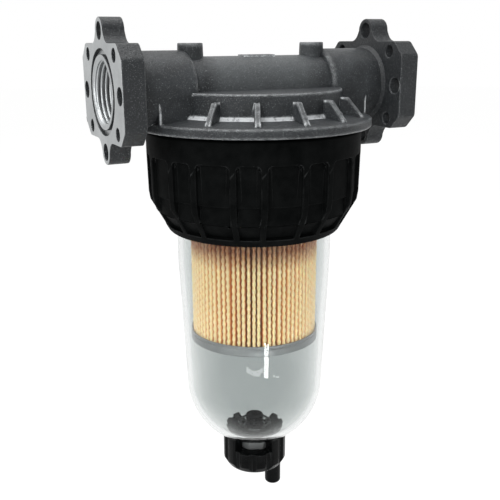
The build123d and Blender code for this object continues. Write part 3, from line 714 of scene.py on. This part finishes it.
@dataclass(frozen=True)
class FilterPaper(Finish):
    """Resin-impregnated pleated paper: cream crests, amber folds as painted shade, a painted
    red-brown shadow at the top under the nut, fibres.
    """

    crest: Colour = (0.98, 0.76, 0.42)
    # painted shade: amber for the shade and warm light deep in the pleats
    fold_shade: Colour = (0.88, 0.34, 0.10)
    # painted shadow: dark red-brown for the nut's shade on the top of the paper
    painted_shadow: Colour = (0.26, 0.04, 0.01)
    fibres: Colour = (0.80, 0.55, 0.26)
    blotches: Colour = (0.92, 0.80, 0.55)
    fold_depth: Ramp = (0.0342, 0.0359)
    top_shadow_level: Ramp = (-0.0940, -0.0835)
    top_shadow_depth: Ramp = (0.4, 1.0, 1.0, 0.88)
    fibre_scale: float = 2600.0
    fibre_along: Triple = (1.0, 1.0, 0.25)
    fibre_share: Ramp = (0.35, 0.65, 0.0, 0.22)
    blotch_scale: float = 160.0
    blotch_share: Ramp = (0.35, 0.7, 0.0, 0.16)
    rough: Ramp = (0.3, 0.7, 0.62, 0.82)

    def dress(self, graph: Graph, shader: Node) -> None:
        """Colour from the depth of the folds as painted shade, a painted shadow under the nut at the
        top, and fibre noise in colour, roughness and bump.
        """
        depth = graph.spread(graph.off_axis(), *self.fold_depth)
        stretch = graph.vector("MULTIPLY", graph.place(), self.fibre_along).outputs[0]
        fibre = graph.noise(stretch, self.fibre_scale, detail=4.0, rough=0.65)
        blotch = graph.noise(graph.place(), self.blotch_scale)
        # painted shadow under the nut: strongest at the top, a little weaker on the crests
        top_shadow = graph.product(
            graph.spread(graph.parts()[2], *self.top_shadow_level),
            graph.spread(depth, *self.top_shadow_depth),
        )
        # painted shade: the folds darken to amber by their depth
        paper = graph.mix(depth, self.fold_shade, self.crest)
        # painted shadow laid over the paper's colour
        paper = graph.mix(top_shadow, paper, self.painted_shadow)
        paper = graph.mix(graph.spread(fibre, *self.fibre_share), paper, self.fibres)
        paper = graph.mix(graph.spread(blotch, *self.blotch_share), paper, self.blotches)
        graph.fill(
            shader,
            Base_Color=paper,
            Roughness=graph.spread(fibre, *self.rough),
            Specular_IOR_Level=0.15,
            Subsurface_Weight=0.2,
            Subsurface_Scale=1.6 * MM,
            Subsurface_Radius=(1.0, 0.5, 0.18),
            Normal=graph.bump(fibre, 0.05, 0.7),
        )


@dataclass(frozen=True)
class PlatedSteel(Finish):
    """Dull zinc-grey pressed sheet."""

    light: Colour = (0.36, 0.365, 0.37)
    dark: Colour = (0.26, 0.265, 0.27)
    pitch: float = 0.0009
    rough: Ramp = (0.4, 1.1, 0.36, 0.52)

    def dress(self, graph: Graph, shader: Node) -> None:
        """Half metallic grey with spangle tone and faint press lines about the bowl axis."""
        grain = effect(graph, Effect.GRAIN, Size=1.1, Coarse=0.6)
        upright = {"Centre_X": AXIS[0], "Use_X": 1.0, "Use_Z": 0.0}
        rings = effect(graph, Effect.TURNING, Pitch=self.pitch, **upright)
        lines = graph.bump(rings["Height"], 0.004, 0.5)
        graph.fill(
            shader,
            Base_Color=graph.mix(grain["Tone"], self.dark, self.light),
            Metallic=0.45,
            Roughness=graph.spread(grain["Height"], *self.rough),
            Normal=graph.bump(grain["Height"], 0.02, 0.4, lines),
        )


@dataclass(frozen=True)
class SoftSolid(Finish):
    """Rubber, potting or frosted plastic: one tone that varies slightly, with a matt skin."""

    base: Colour = (0.012, 0.012, 0.012)
    worn: Colour = (0.03, 0.03, 0.03)
    rough: float = 0.7
    rough_swing: float = 0.08
    grain_span: Pair = (0.4, 1.1)

    def dress(self, graph: Graph, shader: Node) -> None:
        """Matt tone with a fine grain."""
        grain = effect(graph, Effect.GRAIN, Size=0.5, Coarse=0.4)
        low, high = self.rough - self.rough_swing, self.rough + self.rough_swing
        graph.fill(
            shader,
            Base_Color=graph.mix(grain["Tone"], self.base, self.worn),
            Roughness=graph.spread(grain["Height"], *self.grain_span, low, high),
            Specular_IOR_Level=0.3,
            Normal=graph.bump(grain["Height"], 0.03, 0.5),
        )


FINISHES = (
    CastPaint("head_paint"),
    # painted reflection: the edge wear covers the whole thin fillet piece in this lighter grey
    CastPaint("foot_paint", rubbed=(0.36, 0.37, 0.38)),
    MachinedMetal("machined_aluminium"),
    MachinedMetal(
        "thread_aluminium",
        metal=(0.44, 0.455, 0.46),
        dull=(0.34, 0.355, 0.36),
        rough=(0.4, 1.0, 0.34, 0.50),
    ),
    MouldedPlastic("nut_plastic"),
    MouldedPlastic(
        "tap_plastic",
        base=(0.0009, 0.0010, 0.0011),
        rough=(0.4, 1.1, 0.16, 0.28),
        gloss=0.05,
        relief=0.015,
    ),
    ClearPlastic("bowl_clear"),
    SoftSolid("bowl_frosted", (0.055, 0.058, 0.058), (0.085, 0.088, 0.088), 0.45),
    FilterPaper("filter_paper"),
    PlatedSteel("cap_steel"),
    SoftSolid("seal_rubber"),
    SoftSolid("bond", (0.46, 0.33, 0.17), (0.58, 0.44, 0.25), 0.5),
)


# ---- the filter's pieces


@dataclass
class SubAssembly:
    """Pieces that are dressed together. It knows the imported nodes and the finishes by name."""

    nodes: dict[str, Piece]
    finishes: dict[str, Material]

    def settle(self, piece: Piece, body: Body, slot: str, *replaced: str) -> None:
        """Lets a piece ride on its body and hides the nodes that it stands for.

        Args:
            piece: The finished piece.
            body: The body that carries it.
            slot: Not used.
            replaced: CAD nodes that it stands for.
        """
        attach(piece, body.value)
        if replaced:
            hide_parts(*replaced)
        LOG.info("%s rides on %s, %d faces", piece.name, body.value, len(piece.data.polygons))

    def paint(self, finish: str, *nodes: str) -> None:
        """Gives CAD nodes that stay as they are their finish."""
        for node in nodes:
            mesh = self.nodes[node].data
            if mesh.materials:
                mesh.materials[0] = self.finishes[finish]
            else:
                mesh.materials.append(self.finishes[finish])
            LOG.info("%s keeps its shape and takes %s", node, finish)

    def new_piece(self, surface: Surface, name: str, *finishes: str) -> Piece:
        """Makes a piece of a surface with the named finishes."""
        return surface.make(name, *(self.finishes[finish] for finish in finishes))

    def rounded_copy(self, node: str, name: str, width: float, body: Body, finish: str) -> None:
        """Puts a copy with joined flat faces and rounded edges in a CAD node's place.

        Args:
            node: The CAD node.
            name: The new piece's name.
            width: Width of the edge rounding in millimetres.
            body: The body that carries it.
            finish: Its finish.
        """
        piece = self.new_piece(Surface.from_node(self.nodes[node]), name, finish)
        flat_faces_joined(piece)
        soften_edges(piece, width)
        self.settle(piece, body, finish, node)


@dataclass
class Head(SubAssembly):
    """The cast head with its machined faces, port threads and bowl thread."""

    face_to_face: float = 166.0
    edge_width: float = 0.45
    slack: float = 0.05
    square: float = 0.99
    thread_minor: float = 15.15
    thread_depth: float = 0.45
    thread_pitch: float = 2.309
    thread_start: float = 0.02
    thread_length: float = 21.0
    thread_full: float = 9.0
    thread_gone: float = 12.5
    thread_wave: Pair = (1.25, 2.5)
    thread_columns: int = 144
    thread_rows: int = 14
    plain_rows: int = 6
    plain_gap: float = 1.0
    bore_slack: float = 0.02
    bore_margin: float = 0.5
    mouth_radius: float = 16.3
    mouth_inset: float = 0.2
    sleeve_radius: float = 17.0
    sleeve_gap: float = 0.03
    sleeve_mouth: float = 0.3
    groove_outer: float = 21.0
    groove_inner: float = 18.25
    groove_depth: float = 2.0
    drum_radius: float = 48.0
    drum_foot: float = -12.9
    fillet: float = 0.9
    fillet_points: int = 7
    fillet_columns: int = 180
    fillet_sunk: Pair = (1.0, 1.5)
    skirt_radius: float = 52.3
    skirt_rise: float = 0.95
    skirt_pitch: float = 6.0
    skirt_top: float = -26.0
    skirt_end: float = -54.5
    skirt_fade: float = 3.0
    skirt_sunk: float = 0.6
    skirt_gap: float = 0.02
    skirt_wave: Pair = (1.6, 0.2)
    skirt_columns: int = 160
    skirt_rows: int = 56

    def build(self) -> None:
        """Builds and dresses the casting and its threads."""
        self.casting()
        self.foot_fillet()
        self.port_thread("inlet_thread", 0.0, 1.0)
        self.port_thread("outlet_thread", self.face_to_face, -1.0)
        self.skirt_thread()

    def casting(self) -> None:
        """The casting: a rounded copy with wider port bores, which hold the threads.

        A point of a port bore, at the thread's minor radius within the thread's length, moves
        out from the port axis to the sleeve's radius.
        """
        surface = Surface.from_node(self.nodes["head_casting"])
        points = surface.points / MM
        from_face = np.minimum(points[:, 0], self.face_to_face - points[:, 0])
        radius = np.hypot(points[:, 1], points[:, 2])
        on_bore = np.abs(radius - self.thread_minor) < self.bore_slack
        inside = from_face > self.bore_margin
        threaded = from_face < self.thread_length + self.bore_margin
        points[on_bore & inside & threaded, 1:] *= self.sleeve_radius / self.thread_minor
        surface.points = points * MM
        piece = self.new_piece(surface, "head", "head_paint", "machined_aluminium")
        flat_faces_joined(piece)
        self.bare_metal(piece)
        soften_edges(piece, self.edge_width, hollow=False)
        self.settle(piece, Body.HEAD, "head_paint", "head_casting")

    def bare_metal(self, piece: Piece) -> None:
        """Leaves the machined faces bare.

        These are the faces that lie in an end plane and, as far in as the face groove's floor,
        the groove's floor and the walls of the port's mouth.
        """
        centre, normal = face_rows(piece, "center") / MM, face_rows(piece, "normal")
        from_face = np.minimum(centre[:, 0], self.face_to_face - centre[:, 0])
        radius = np.hypot(centre[:, 1], centre[:, 2])
        across = np.abs(normal[:, 0]) > self.square
        shallow = (from_face < self.groove_depth + self.slack) & (radius < self.groove_outer)
        mouth = radius < self.groove_inner - self.mouth_inset
        end = (from_face < self.slack) & across
        use_second_finish(piece, end | shallow & (across | mouth))

    def foot_fillet(self) -> None:
        """The casting's hollow rounding where the drum stands on the disc, pale all over as a
        painted reflection.

        Its skin is r = drum + R - R sin p, z = foot + R - R cos p for p from 0 to a quarter turn,
        closed by faces that lie inside the casting.
        """
        drum, foot, size = self.drum_radius, self.drum_foot, self.fillet
        inwards, down = self.fillet_sunk
        arc = np.linspace(0.0, math.pi / 2, self.fillet_points)
        buried = [drum - inwards, drum - inwards, drum + size]
        radius = np.append(drum + size * (1 - np.sin(arc)), buried)
        buried = [foot + size, foot - down, foot - down]
        level = np.append(foot + size * (1 - np.cos(arc)), buried)
        grid = turned(radius[:, None], level[:, None], turns(self.fillet_columns)[None, :])
        # painted reflection: this thin piece is rubbed pale all over
        piece = self.new_piece(Surface.from_grid(grid), "drum_fillet", "foot_paint")
        self.settle(piece, Body.HEAD, "head_paint")

    def port_thread(self, name: str, start: float, direction: float) -> None:
        """A sleeve with the port's thread cut into it.

        The inner radius is the larger of the mouth's chamfer, mouth radius - depth in, and the
        thread, minor radius + thread depth x wave of (depth in / pitch - turn), whose height
        fades out past the full threads. The wave is crest - slope x |2 turn - 1| cut off at 0
        and 1. The outer radius is the casting's widened bore.

        Args:
            name: The piece's name.
            start: Where the port's face lies along the port axis.
            direction: 1 where the port runs towards +X, -1 where it runs towards -X.
        """
        angle = turns(self.thread_columns)[None, :]
        rows = int(self.thread_gone / self.thread_pitch * self.thread_rows)
        threaded = np.linspace(self.thread_start, self.thread_gone, rows)
        plain = np.linspace(self.thread_gone + self.plain_gap, self.thread_length, self.plain_rows)
        depth = np.concatenate([threaded, plain])[:, None]
        phase = (depth / self.thread_pitch - angle / TURN) % 1.0
        crest, slope = self.thread_wave
        wave = np.clip(crest - slope * np.abs(2 * phase - 1.0), 0.0, 1.0)
        height = self.thread_depth * wave * fade(depth, self.thread_full, self.thread_gone)
        inner = np.maximum(self.thread_minor + height, self.mouth_radius - depth)
        outer = np.full((2, self.thread_columns), self.sleeve_radius - self.sleeve_gap)
        outer_depth = np.array([[self.thread_length], [self.sleeve_mouth]])
        along = start + direction * np.concatenate([depth, outer_depth])
        grid = about_port(along, np.concatenate([inner, outer]), angle)
        piece = self.new_piece(Surface.from_grid(grid), name, "thread_aluminium")
        self.settle(piece, Body.HEAD, "head_paint")

    def skirt_thread(self) -> None:
        """The coarse thread on the skirt, which the ring nut runs on.

        Its radius is the skirt's + rise x wave of (level / pitch + turn), which fades to 0 at
        both ends. The wave is height x cos + lift cut off at 0 and 1. The inner side lies just
        under the skirt's surface.
        """
        angle = turns(self.skirt_columns)[None, :]
        top, end, run_out = self.skirt_top, self.skirt_end, self.skirt_fade
        level = np.linspace(top, end, self.skirt_rows)[:, None]
        phase = (level / self.skirt_pitch + angle / TURN) % 1.0
        height, lift = self.skirt_wave
        wave = np.clip(height * np.cos(TURN * phase) + lift, 0.0, 1.0)
        ends = (1 - fade(-level, -top, -top + run_out)) * fade(-level, -end - run_out, -end)
        rise = self.skirt_rise * wave * ends
        outer = self.skirt_radius + self.skirt_gap + rise
        inner = np.full((2, self.skirt_columns), self.skirt_radius - self.skirt_sunk)
        levels = np.concatenate([level, [[end]], [[top]]])
        grid = turned(np.concatenate([outer, inner]), levels, angle)
        piece = self.new_piece(Surface.from_grid(grid), "skirt_thread", "machined_aluminium")
        self.settle(piece, Body.HEAD, "head_paint")


@dataclass
class RingNut(SubAssembly):
    """The black ribbed nut that clamps the bowl."""

    edge_width: float = 0.5

    def build(self) -> None:
        """Builds the nut with rounded ribs and pockets."""
        self.rounded_copy("ring_nut", "nut", self.edge_width, Body.NUT, "nut_plastic")


@dataclass
class ClearBowl(SubAssembly):
    """The clear bowl with its seal, drain stem and stem washer.

    spigot_neck holds how far the first rows under the ball lie outside the spigot and below
    the line where it meets the ball, spigot_rim how far the last rows lie inside the spigot
    and above its end.
    """

    columns: int = 240
    radius: float = 43.5
    inner_radius: float = 40.5
    end_radius: float = 40.2
    inner_end_radius: float = 37.2
    inner_ball_rows: int = 40
    outer_ball_rows: int = 44
    flange_radius: float = 52.8
    flange_top: float = -57.45
    flange_bottom: float = -62.45
    lip_radius: float = 47.2
    lip_inner: float = 43.8
    lip_top: float = -51.25
    shoulder: float = -56.45
    groove_inner: float = 48.2
    groove_outer: float = 51.6
    groove_floor: float = -59.65
    taper_top: float = -94.95
    ball_level: float = -170.65
    floor: float = -207.25
    collar_radius: float = 10.5
    collar_bore: float = 8.3
    collar_top: float = -203.0
    collar_flare: float = 0.8
    collar_flare_height: float = 0.3
    stem_hole: float = 4.35
    stem_edge_width: float = 0.22
    spigot_radius: float = 11.4
    spigot_sides: int = 8
    spigot_corner: float = 0.985
    spigot_flare: float = 1.0
    spigot_end: float = -215.95
    spigot_neck: tuple[Pair, ...] = ((0.35, 0.25), (0.08, 0.8), (0.0, 1.6))
    spigot_rim: tuple[Pair, ...] = ((0.0, 0.5), (0.15, 0.15), (0.5, 0.0))
    frost_top: float = -211.5
    frost_inner: float = 9.5

    def build(self) -> None:
        """Builds the bowl and dresses what stands in it."""
        self.shell()
        self.paint("seal_rubber", "bowl_oring", "drain_stem_seal")
        self.rounded_copy("drain_stem", "stem", self.stem_edge_width, Body.BOWL, "tap_plastic")

    def upper_rows(self) -> np.ndarray:
        """Profile from the inner ball's equator up over the lip and down to the outer equator."""
        corners = [
            (self.inner_end_radius, self.ball_level, 0.1),
            (self.inner_radius, self.taper_top, 6.0),
            (self.inner_radius, self.flange_bottom, 2.0),
            (self.lip_inner, self.shoulder, 1.5),
            (self.lip_inner, self.lip_top, 0.7),
            (self.lip_radius, self.lip_top, 0.7),
            (self.lip_radius, self.flange_top, 0.5),
            (self.groove_inner, self.flange_top, 0.3),
            (self.groove_inner, self.groove_floor, 0.4),
            (self.groove_outer, self.groove_floor, 0.4),
            (self.groove_outer, self.flange_top, 0.3),
            (self.flange_radius, self.flange_top, 0.5),
            (self.flange_radius, self.flange_bottom, 0.7),
            (self.radius, self.flange_bottom, 1.6),
            (self.radius, self.taper_top, 6.0),
            (self.end_radius, self.ball_level, 0.1),
        ]
        return softened(corners)[CORNER_POINTS:-CORNER_POINTS]

    def collar_rows(self, foot: float) -> np.ndarray:
        """Profile from the hole's rim over floor and collar to where its flare meets the ball."""
        corners = [
            (self.stem_hole, self.spigot_end, 0.2),
            (self.stem_hole, self.floor, 0.2),
            (self.collar_bore, self.floor, 0.5),
            (self.collar_bore, self.collar_top, 0.5),
            (self.collar_radius, self.collar_top, 0.6),
            (self.collar_radius, foot - self.collar_flare_height, 0.8),
            (self.collar_radius + self.collar_flare, foot, 0.1),
        ]
        middle = CORNER_POINTS // 2
        return softened(corners)[middle : middle - CORNER_POINTS]

    def octagon(self, angle: np.ndarray) -> np.ndarray:
        """Radius of the eight-sided spigot: R cos(h) / cos(a mod 2h - h), its corners held in."""
        half = math.pi / self.spigot_sides
        flat = self.spigot_radius * math.cos(half) / np.cos(angle % (2 * half) - half)
        return np.minimum(flat, self.spigot_radius * self.spigot_corner)

    def ball(self, radius: float, arc: np.ndarray) -> tuple[np.ndarray, np.ndarray]:
        """Radii and levels on a ball about the bowl's end: R cos p and centre - R sin p."""
        return radius * np.cos(arc), self.ball_level - radius * np.sin(arc)

    def shell(self) -> None:
        """The bowl's whole skin as one closed grid of profile rows by angles.

        The rows run from the stem hole over the floor and collar, along the inner ball from
        its foot to its equator, up the wall, over the lip and flange, down the outer wall,
        along the outer ball to the eight-sided spigot, and over its end to the stem hole.
        """
        angle = turns(self.columns)[None, :]
        flared = self.collar_radius + self.collar_flare
        collar = self.collar_rows(self.ball_level - math.sqrt(self.inner_end_radius**2 - flared**2))
        start = math.acos(flared / self.inner_end_radius)
        inner_arc = np.linspace(start, 0.0, self.inner_ball_rows)[:, None]
        wall = self.upper_rows()
        octagon = self.octagon(angle)
        end = np.arccos((octagon + self.spigot_flare) / self.end_radius)
        outer_arc = np.linspace(0.0, 1.0, self.outer_ball_rows)[:, None] * end
        meeting = self.ball_level - np.sqrt(self.end_radius**2 - octagon**2)
        rows = [
            (collar[:, :1], collar[:, 1:]),
            self.ball(self.inner_end_radius, inner_arc),
            (wall[:, :1], wall[:, 1:]),
            self.ball(self.end_radius, outer_arc),
        ]
        rows += [(octagon + out, meeting - down) for out, down in self.spigot_neck]
        rows += [(octagon - out, np.array([[self.spigot_end + up]])) for out, up in self.spigot_rim]
        wide = np.ones_like(angle)
        radius, level = (np.concatenate([row[side] * wide for row in rows]) for side in (0, 1))
        surface = Surface.from_grid(turned(radius, level, angle))
        piece = self.new_piece(surface, "clear_bowl", "bowl_clear", "bowl_frosted")
        self.frost(piece)
        even_shading(piece)
        self.settle(piece, Body.BOWL, "bowl_clear", "bowl")

    def frost(self, piece: Piece) -> None:
        """Gives the spigot's outer flats below the round end their frosted finish."""
        centre = face_rows(piece, "center") / MM
        radius = np.hypot(centre[:, 0] - AXIS_X, centre[:, 1])
        use_second_finish(piece, (centre[:, 2] < self.frost_top) & (radius > self.frost_inner))


@dataclass
class Cartridge(SubAssembly):
    """The pleated cartridge with its caps, core, bonds and grommet.

    pleat_side and pleat_reach are the points of half a pleat, from its crest to its valley:
    how far aside of its middle and how far inside the crest they lie. cap_bead_down is how far
    under the rim the bead's four corners lie.
    """

    pleats: int = 80
    pleat_side: Numbers = (0.0, 0.44, 0.76, 0.88, 0.85, 0.74, 0.57)
    pleat_reach: Numbers = (0.0, 0.08, 0.38, 1.0, 3.5, 9.0, 15.4)
    pleat_gap: float = 0.05
    crest_radius: float = 35.95
    crest_limit: float = 35.98
    crest_depth: float = 4.0
    paper_limit: float = 36.0
    valley_radius: float = 20.2
    lean: float = 0.16
    unevenness: float = 0.10
    sway: float = 0.10
    sway_length: float = 17.0
    top: float = -36.8
    bottom: float = -137.8
    sheet: float = 0.45
    rows: int = 77
    dimple_pitch: float = 4.0
    dimple: float = 0.30
    swell: float = 0.30
    cap_floor: float = -141.6
    cap_radius: float = 37.1
    cap_rim: float = 6.2
    cap_sheet: float = 0.8
    cap_bead: float = 0.35
    cap_bead_down: Numbers = (2.2, 1.9, 1.5, 1.2)
    cap_columns: int = 160
    dish_radius: float = 17.5
    dish_height: float = 8.0
    dish_slope: float = 4.0

    def build(self) -> None:
        """Builds the paper and the lower cap and dresses the rest."""
        self.paper()
        self.bottom_cap()
        self.paint("cap_steel", "cartridge_core", "cartridge_top_cap")
        self.paint("bond", "cartridge_bottom_bond", "cartridge_top_bond")
        self.paint("seal_rubber", "cartridge_grommet")

    def pleat_section(
        self, inset: float, lean: np.ndarray, deep: np.ndarray
    ) -> tuple[np.ndarray, np.ndarray, np.ndarray]:
        """One closed zigzag round the axis, as angles, radii and crest shares.

        Each pleat has the same points (sideways offset, radius): a rounded crest, straight
        flanks and a tight valley. The offset is divided by the radius to give an angle.

        Args:
            inset: How far the line lies inside the paper's outer face.
            lean: How far each pleat's crest is shifted aside.
            deep: How much each pleat is raised.

        Returns:
            Angles in radians, radii in millimetres, and how near each point is to a crest.
        """
        side, reach = np.array(self.pleat_side), np.array(self.pleat_reach)
        side = np.concatenate([-side[:0:-1], side])
        reach = np.concatenate([reach[:0:-1], reach])[None, :]
        side = np.sign(side) * np.maximum(np.abs(side) - inset, self.pleat_gap)
        radius = self.crest_radius - inset - reach + deep[:, None]
        radius = np.clip(radius, self.valley_radius - inset, self.crest_limit)
        share = np.clip(1.0 - reach / self.crest_depth, 0.0, 1.0) * np.ones_like(radius)
        angle = turns(self.pleats)[:, None] + (side[None, :] + lean[:, None] * share) / radius
        return angle.reshape(-1), radius.reshape(-1), share.reshape(-1)

    def paper(self) -> None:
        """The folded paper as one closed grid: outer face, lower edge, inner face, upper edge.

        The outer face's points near a crest move out and in by dimple x cos(2 pi z / pitch),
        with the phase reversed on each second pleat, swell sideways by the same wave, and sway
        slowly along the axis. Each pleat leans and is raised by its own random draw.
        """
        rng = np.random.default_rng(SEED)
        lean = rng.normal(0.0, self.lean, self.pleats)
        deep = rng.normal(0.0, self.unevenness, self.pleats)
        angle, radius, share = self.pleat_section(0.0, lean, deep)
        each = len(angle) // self.pleats
        sway = np.repeat(rng.uniform(0, TURN, self.pleats), each)
        phase = np.repeat(np.arange(self.pleats) % 2, each) * math.pi
        level = np.linspace(self.top, self.bottom, self.rows)[:, None]
        wave = np.cos(TURN * level / self.dimple_pitch + phase[None, :])
        drift = self.sway * np.sin(level / self.sway_length + sway[None, :]) * share[None, :]
        middle = np.repeat(turns(self.pleats), each)
        swell = self.swell * wave * share[None, :] * (angle - middle)[None, :]
        dimpled = radius[None, :] + self.dimple * wave * share[None, :]
        outer_angle = angle[None, :] + swell + drift / radius[None, :]
        outer = turned(np.minimum(dimpled, self.paper_limit), level, outer_angle)
        inner_angle, inner_radius, _ = self.pleat_section(self.sheet, lean, deep)
        ends = np.array([[self.bottom], [self.top]])
        inner = turned(inner_radius[None, :], ends, inner_angle[None, :])
        surface = Surface.from_grid(np.concatenate([outer, inner]))
        piece = self.new_piece(surface, "pleats", "filter_paper")
        self.settle(piece, Body.CARTRIDGE, "filter_paper", "cartridge_pleats")

    def bottom_cap(self) -> None:
        """The pressed lower cap: a turned profile with a rolled edge and a bead round its rim."""
        floor, rim = self.cap_floor, self.cap_floor + self.cap_rim
        inner, bead = self.cap_radius - self.cap_sheet, self.cap_radius - self.cap_bead
        dish, crown = self.dish_radius, self.dish_radius - self.dish_slope
        rise = floor + self.dish_height
        lowest, low, high, highest = (rim - down for down in self.cap_bead_down)
        profile = softened(
            [
                (crown, rise, 1.0),
                (dish, floor, 1.0),
                (self.cap_radius, floor, 1.1),
                (self.cap_radius, lowest, 0.3),
                (bead, low, 0.2),
                (bead, high, 0.2),
                (self.cap_radius, highest, 0.3),
                (self.cap_radius, rim, 0.35),
                (inner, rim, 0.35),
                (inner, floor + self.cap_sheet, 0.6),
                (dish, floor + self.cap_sheet, 0.8),
                (crown, rise + self.cap_sheet, 0.8),
            ]
        )
        poles = np.array([[0.0, rise + self.cap_sheet], [0.0, rise]])
        profile = np.concatenate([profile, poles])
        grid = turned(profile[:, :1], profile[:, 1:], turns(self.cap_columns)[None, :])
        piece = self.new_piece(Surface.from_grid(grid), "bottom_cap", "cap_steel")
        self.settle(piece, Body.CARTRIDGE, "cap_steel", "cartridge_bottom_cap")


@dataclass
class DrainTap(SubAssembly):
    """The drain knob with its valve disc and ring."""

    edge_width: float = 0.35

    def build(self) -> None:
        """Builds the knob and dresses the disc and ring inside it."""
        self.rounded_copy("drain_knob", "knob", self.edge_width, Body.TAP, "tap_plastic")
        self.paint("seal_rubber", "drain_disc", "drain_knob_ring")


# ---- studio


@dataclass
class Lamp:
    """One soft rectangular lamp. A mirrored one also shows in glossy surfaces."""

    name: str
    place: Triple
    aim: Triple
    size: Pair
    power: float
    mirrored: bool = False

    def build(self) -> None:
        """Hangs the lamp."""
        data = bpy.data.lights.new(self.name, "AREA")
        data.shape = "RECTANGLE"
        data.size, data.size_y = self.size
        data.energy = self.power
        lamp = placed(self.name, data)
        lamp.location = self.place
        lamp.visible_glossy = self.mirrored
        lamp.visible_camera = lamp.visible_transmission = False
        away = Vector(self.place) - Vector(self.aim)
        lamp.rotation_euler = away.to_track_quat("Z", "Y").to_euler()


LAMPS = (
    Lamp("key", (-0.10, 0.10, 1.10), (0.083, 0.0, -0.06), (1.3, 1.1), 24.0, True),
    Lamp("front", (-0.75, -1.15, 0.25), (0.083, 0.0, -0.10), (0.9, 1.2), 14.0),
    Lamp("side", (1.35, -0.35, 0.30), (0.083, 0.0, -0.10), (0.5, 1.2), 9.0),
    Lamp("left", (-0.95, -0.30, 0.12), (0.083, 0.0, -0.08), (0.25, 0.7), 3.0, True),
    Lamp("strip", (-0.62, -0.62, 0.62), (0.083, 0.0, -0.10), (0.05, 0.7), 3.0, True),
    Lamp(
        "low_window", (0.036, -0.309, -0.3), (0.0705, -0.0392, -0.142), (0.038, 0.034), 0.24, True
    ),
    Lamp("low_bar", (-0.041, -0.262, -0.3), (0.0649, -0.037, -0.148), (0.144, 0.005), 0.036, True),
    Lamp("low_tail", (0.119, -0.28, -0.3), (0.076, -0.0404, -0.1525), (0.051, 0.0015), 0.004, True),
)


@dataclass
class Studio:
    """Pale floor, soft lamps, a white surround and the camera."""

    floor_level: float = -0.36
    floor_radius: float = 6.0
    floor_columns: int = 64
    floor_scale: float = 3.0
    floor_tone: Ramp = (0.3, 0.7, 0.80, 0.84)
    floor_glow: float = 1.08
    floor_share: float = 0.88
    surround: float = 0.42
    camera_place: Triple = (-0.09506, -0.352553, 0.02454)
    camera_right: Triple = (0.89438, -0.44726, -0.00553)
    camera_up: Triple = (0.13096, 0.25003, 0.9593)
    camera_forward: Triple = (0.4277, 0.8587, -0.2822)
    camera_clip: Pair = (0.01, 50.0)
    lens: float = 51.45
    sensor: float = 36.0
    lamps: tuple[Lamp, ...] = LAMPS

    def build(self) -> None:
        """Sets up the floor, lamps, surround and camera."""
        self.floor()
        self.world()
        for lamp in self.lamps:
            lamp.build()
        self.camera()
        bpy.context.scene.view_settings.view_transform = "Standard"

    @staticmethod
    def shown(graph: Graph) -> Socket:
        """1 for camera, glossy and transmission rays, which see the plain white surround."""
        path = graph.node("ShaderNodeLightPath").outputs
        either = graph.math("MAXIMUM", path["Is Camera Ray"], path["Is Glossy Ray"])
        return graph.math("MAXIMUM", either, path["Is Transmission Ray"])

    def floor(self) -> None:
        """A round floor, a centre and two rings of points, which keeps the object's shadow."""
        radius = np.array([[0.0], [self.floor_radius / 2], [self.floor_radius]]) / MM
        level = np.full((3, 1), self.floor_level / MM)
        grid = turned(radius, level, turns(self.floor_columns)[None, :])
        material = bpy.data.materials.new("floor")
        graph = Graph.cleared(material)
        tone = graph.spread(graph.noise(graph.place(), self.floor_scale), *self.floor_tone)
        grey = graph.mix(tone, (0.0, 0.0, 0.0), (1.0, 1.0, 1.0))
        matt = graph.node("ShaderNodeBsdfDiffuse", {"Color": grey})
        glow = {"Color": (1.0, 1.0, 1.0), "Strength": self.floor_glow}
        white = graph.node("ShaderNodeEmission", glow)
        share = graph.product(self.shown(graph), self.floor_share)
        feeds = {0: share, 1: matt.outputs[0], 2: white.outputs[0]}
        mixed = graph.node("ShaderNodeMixShader", feeds)
        graph.node("ShaderNodeOutputMaterial", {0: mixed.outputs[0]})
        floor = Surface.from_grid(grid, closed_rows=False).make("floor", material)

    def world(self) -> None:
        """White where it is seen, and a dimmer even fill for everything else."""
        world = bpy.data.worlds.new("studio")
        graph = Graph.cleared(world)
        strength = graph.spread(self.shown(graph), 0.0, 1.0, self.surround, 1.0)
        light = {"Color": (1.0, 1.0, 1.0), "Strength": strength}
        sky = graph.node("ShaderNodeBackground", light)
        graph.node("ShaderNodeOutputWorld", {0: sky.outputs[0]})
        bpy.context.scene.world = world

    def camera(self) -> None:
        """The camera, where the photograph's outlines put it."""
        data = bpy.data.cameras.new("camera")
        data.lens = self.lens
        data.sensor_width = self.sensor
        data.clip_start, data.clip_end = self.camera_clip
        camera = placed("camera", data)
        back = [-value for value in self.camera_forward]
        turn = Matrix((self.camera_right, self.camera_up, back))
        camera.matrix_world = Matrix.Translation(self.camera_place) @ turn.transposed().to_4x4()
        bpy.context.scene.camera = camera


def main() -> None:
    """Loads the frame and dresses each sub-assembly."""
    logging.basicConfig(level=logging.INFO, format="%(message)s")
    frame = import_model()
    finishes = {finish.name: finish.build() for finish in FINISHES}
    for part in (Head, RingNut, ClearBowl, Cartridge, DrainTap):
        part(frame["nodes"], finishes).build()
    Studio().build()


if __name__ == "__main__":
    main()
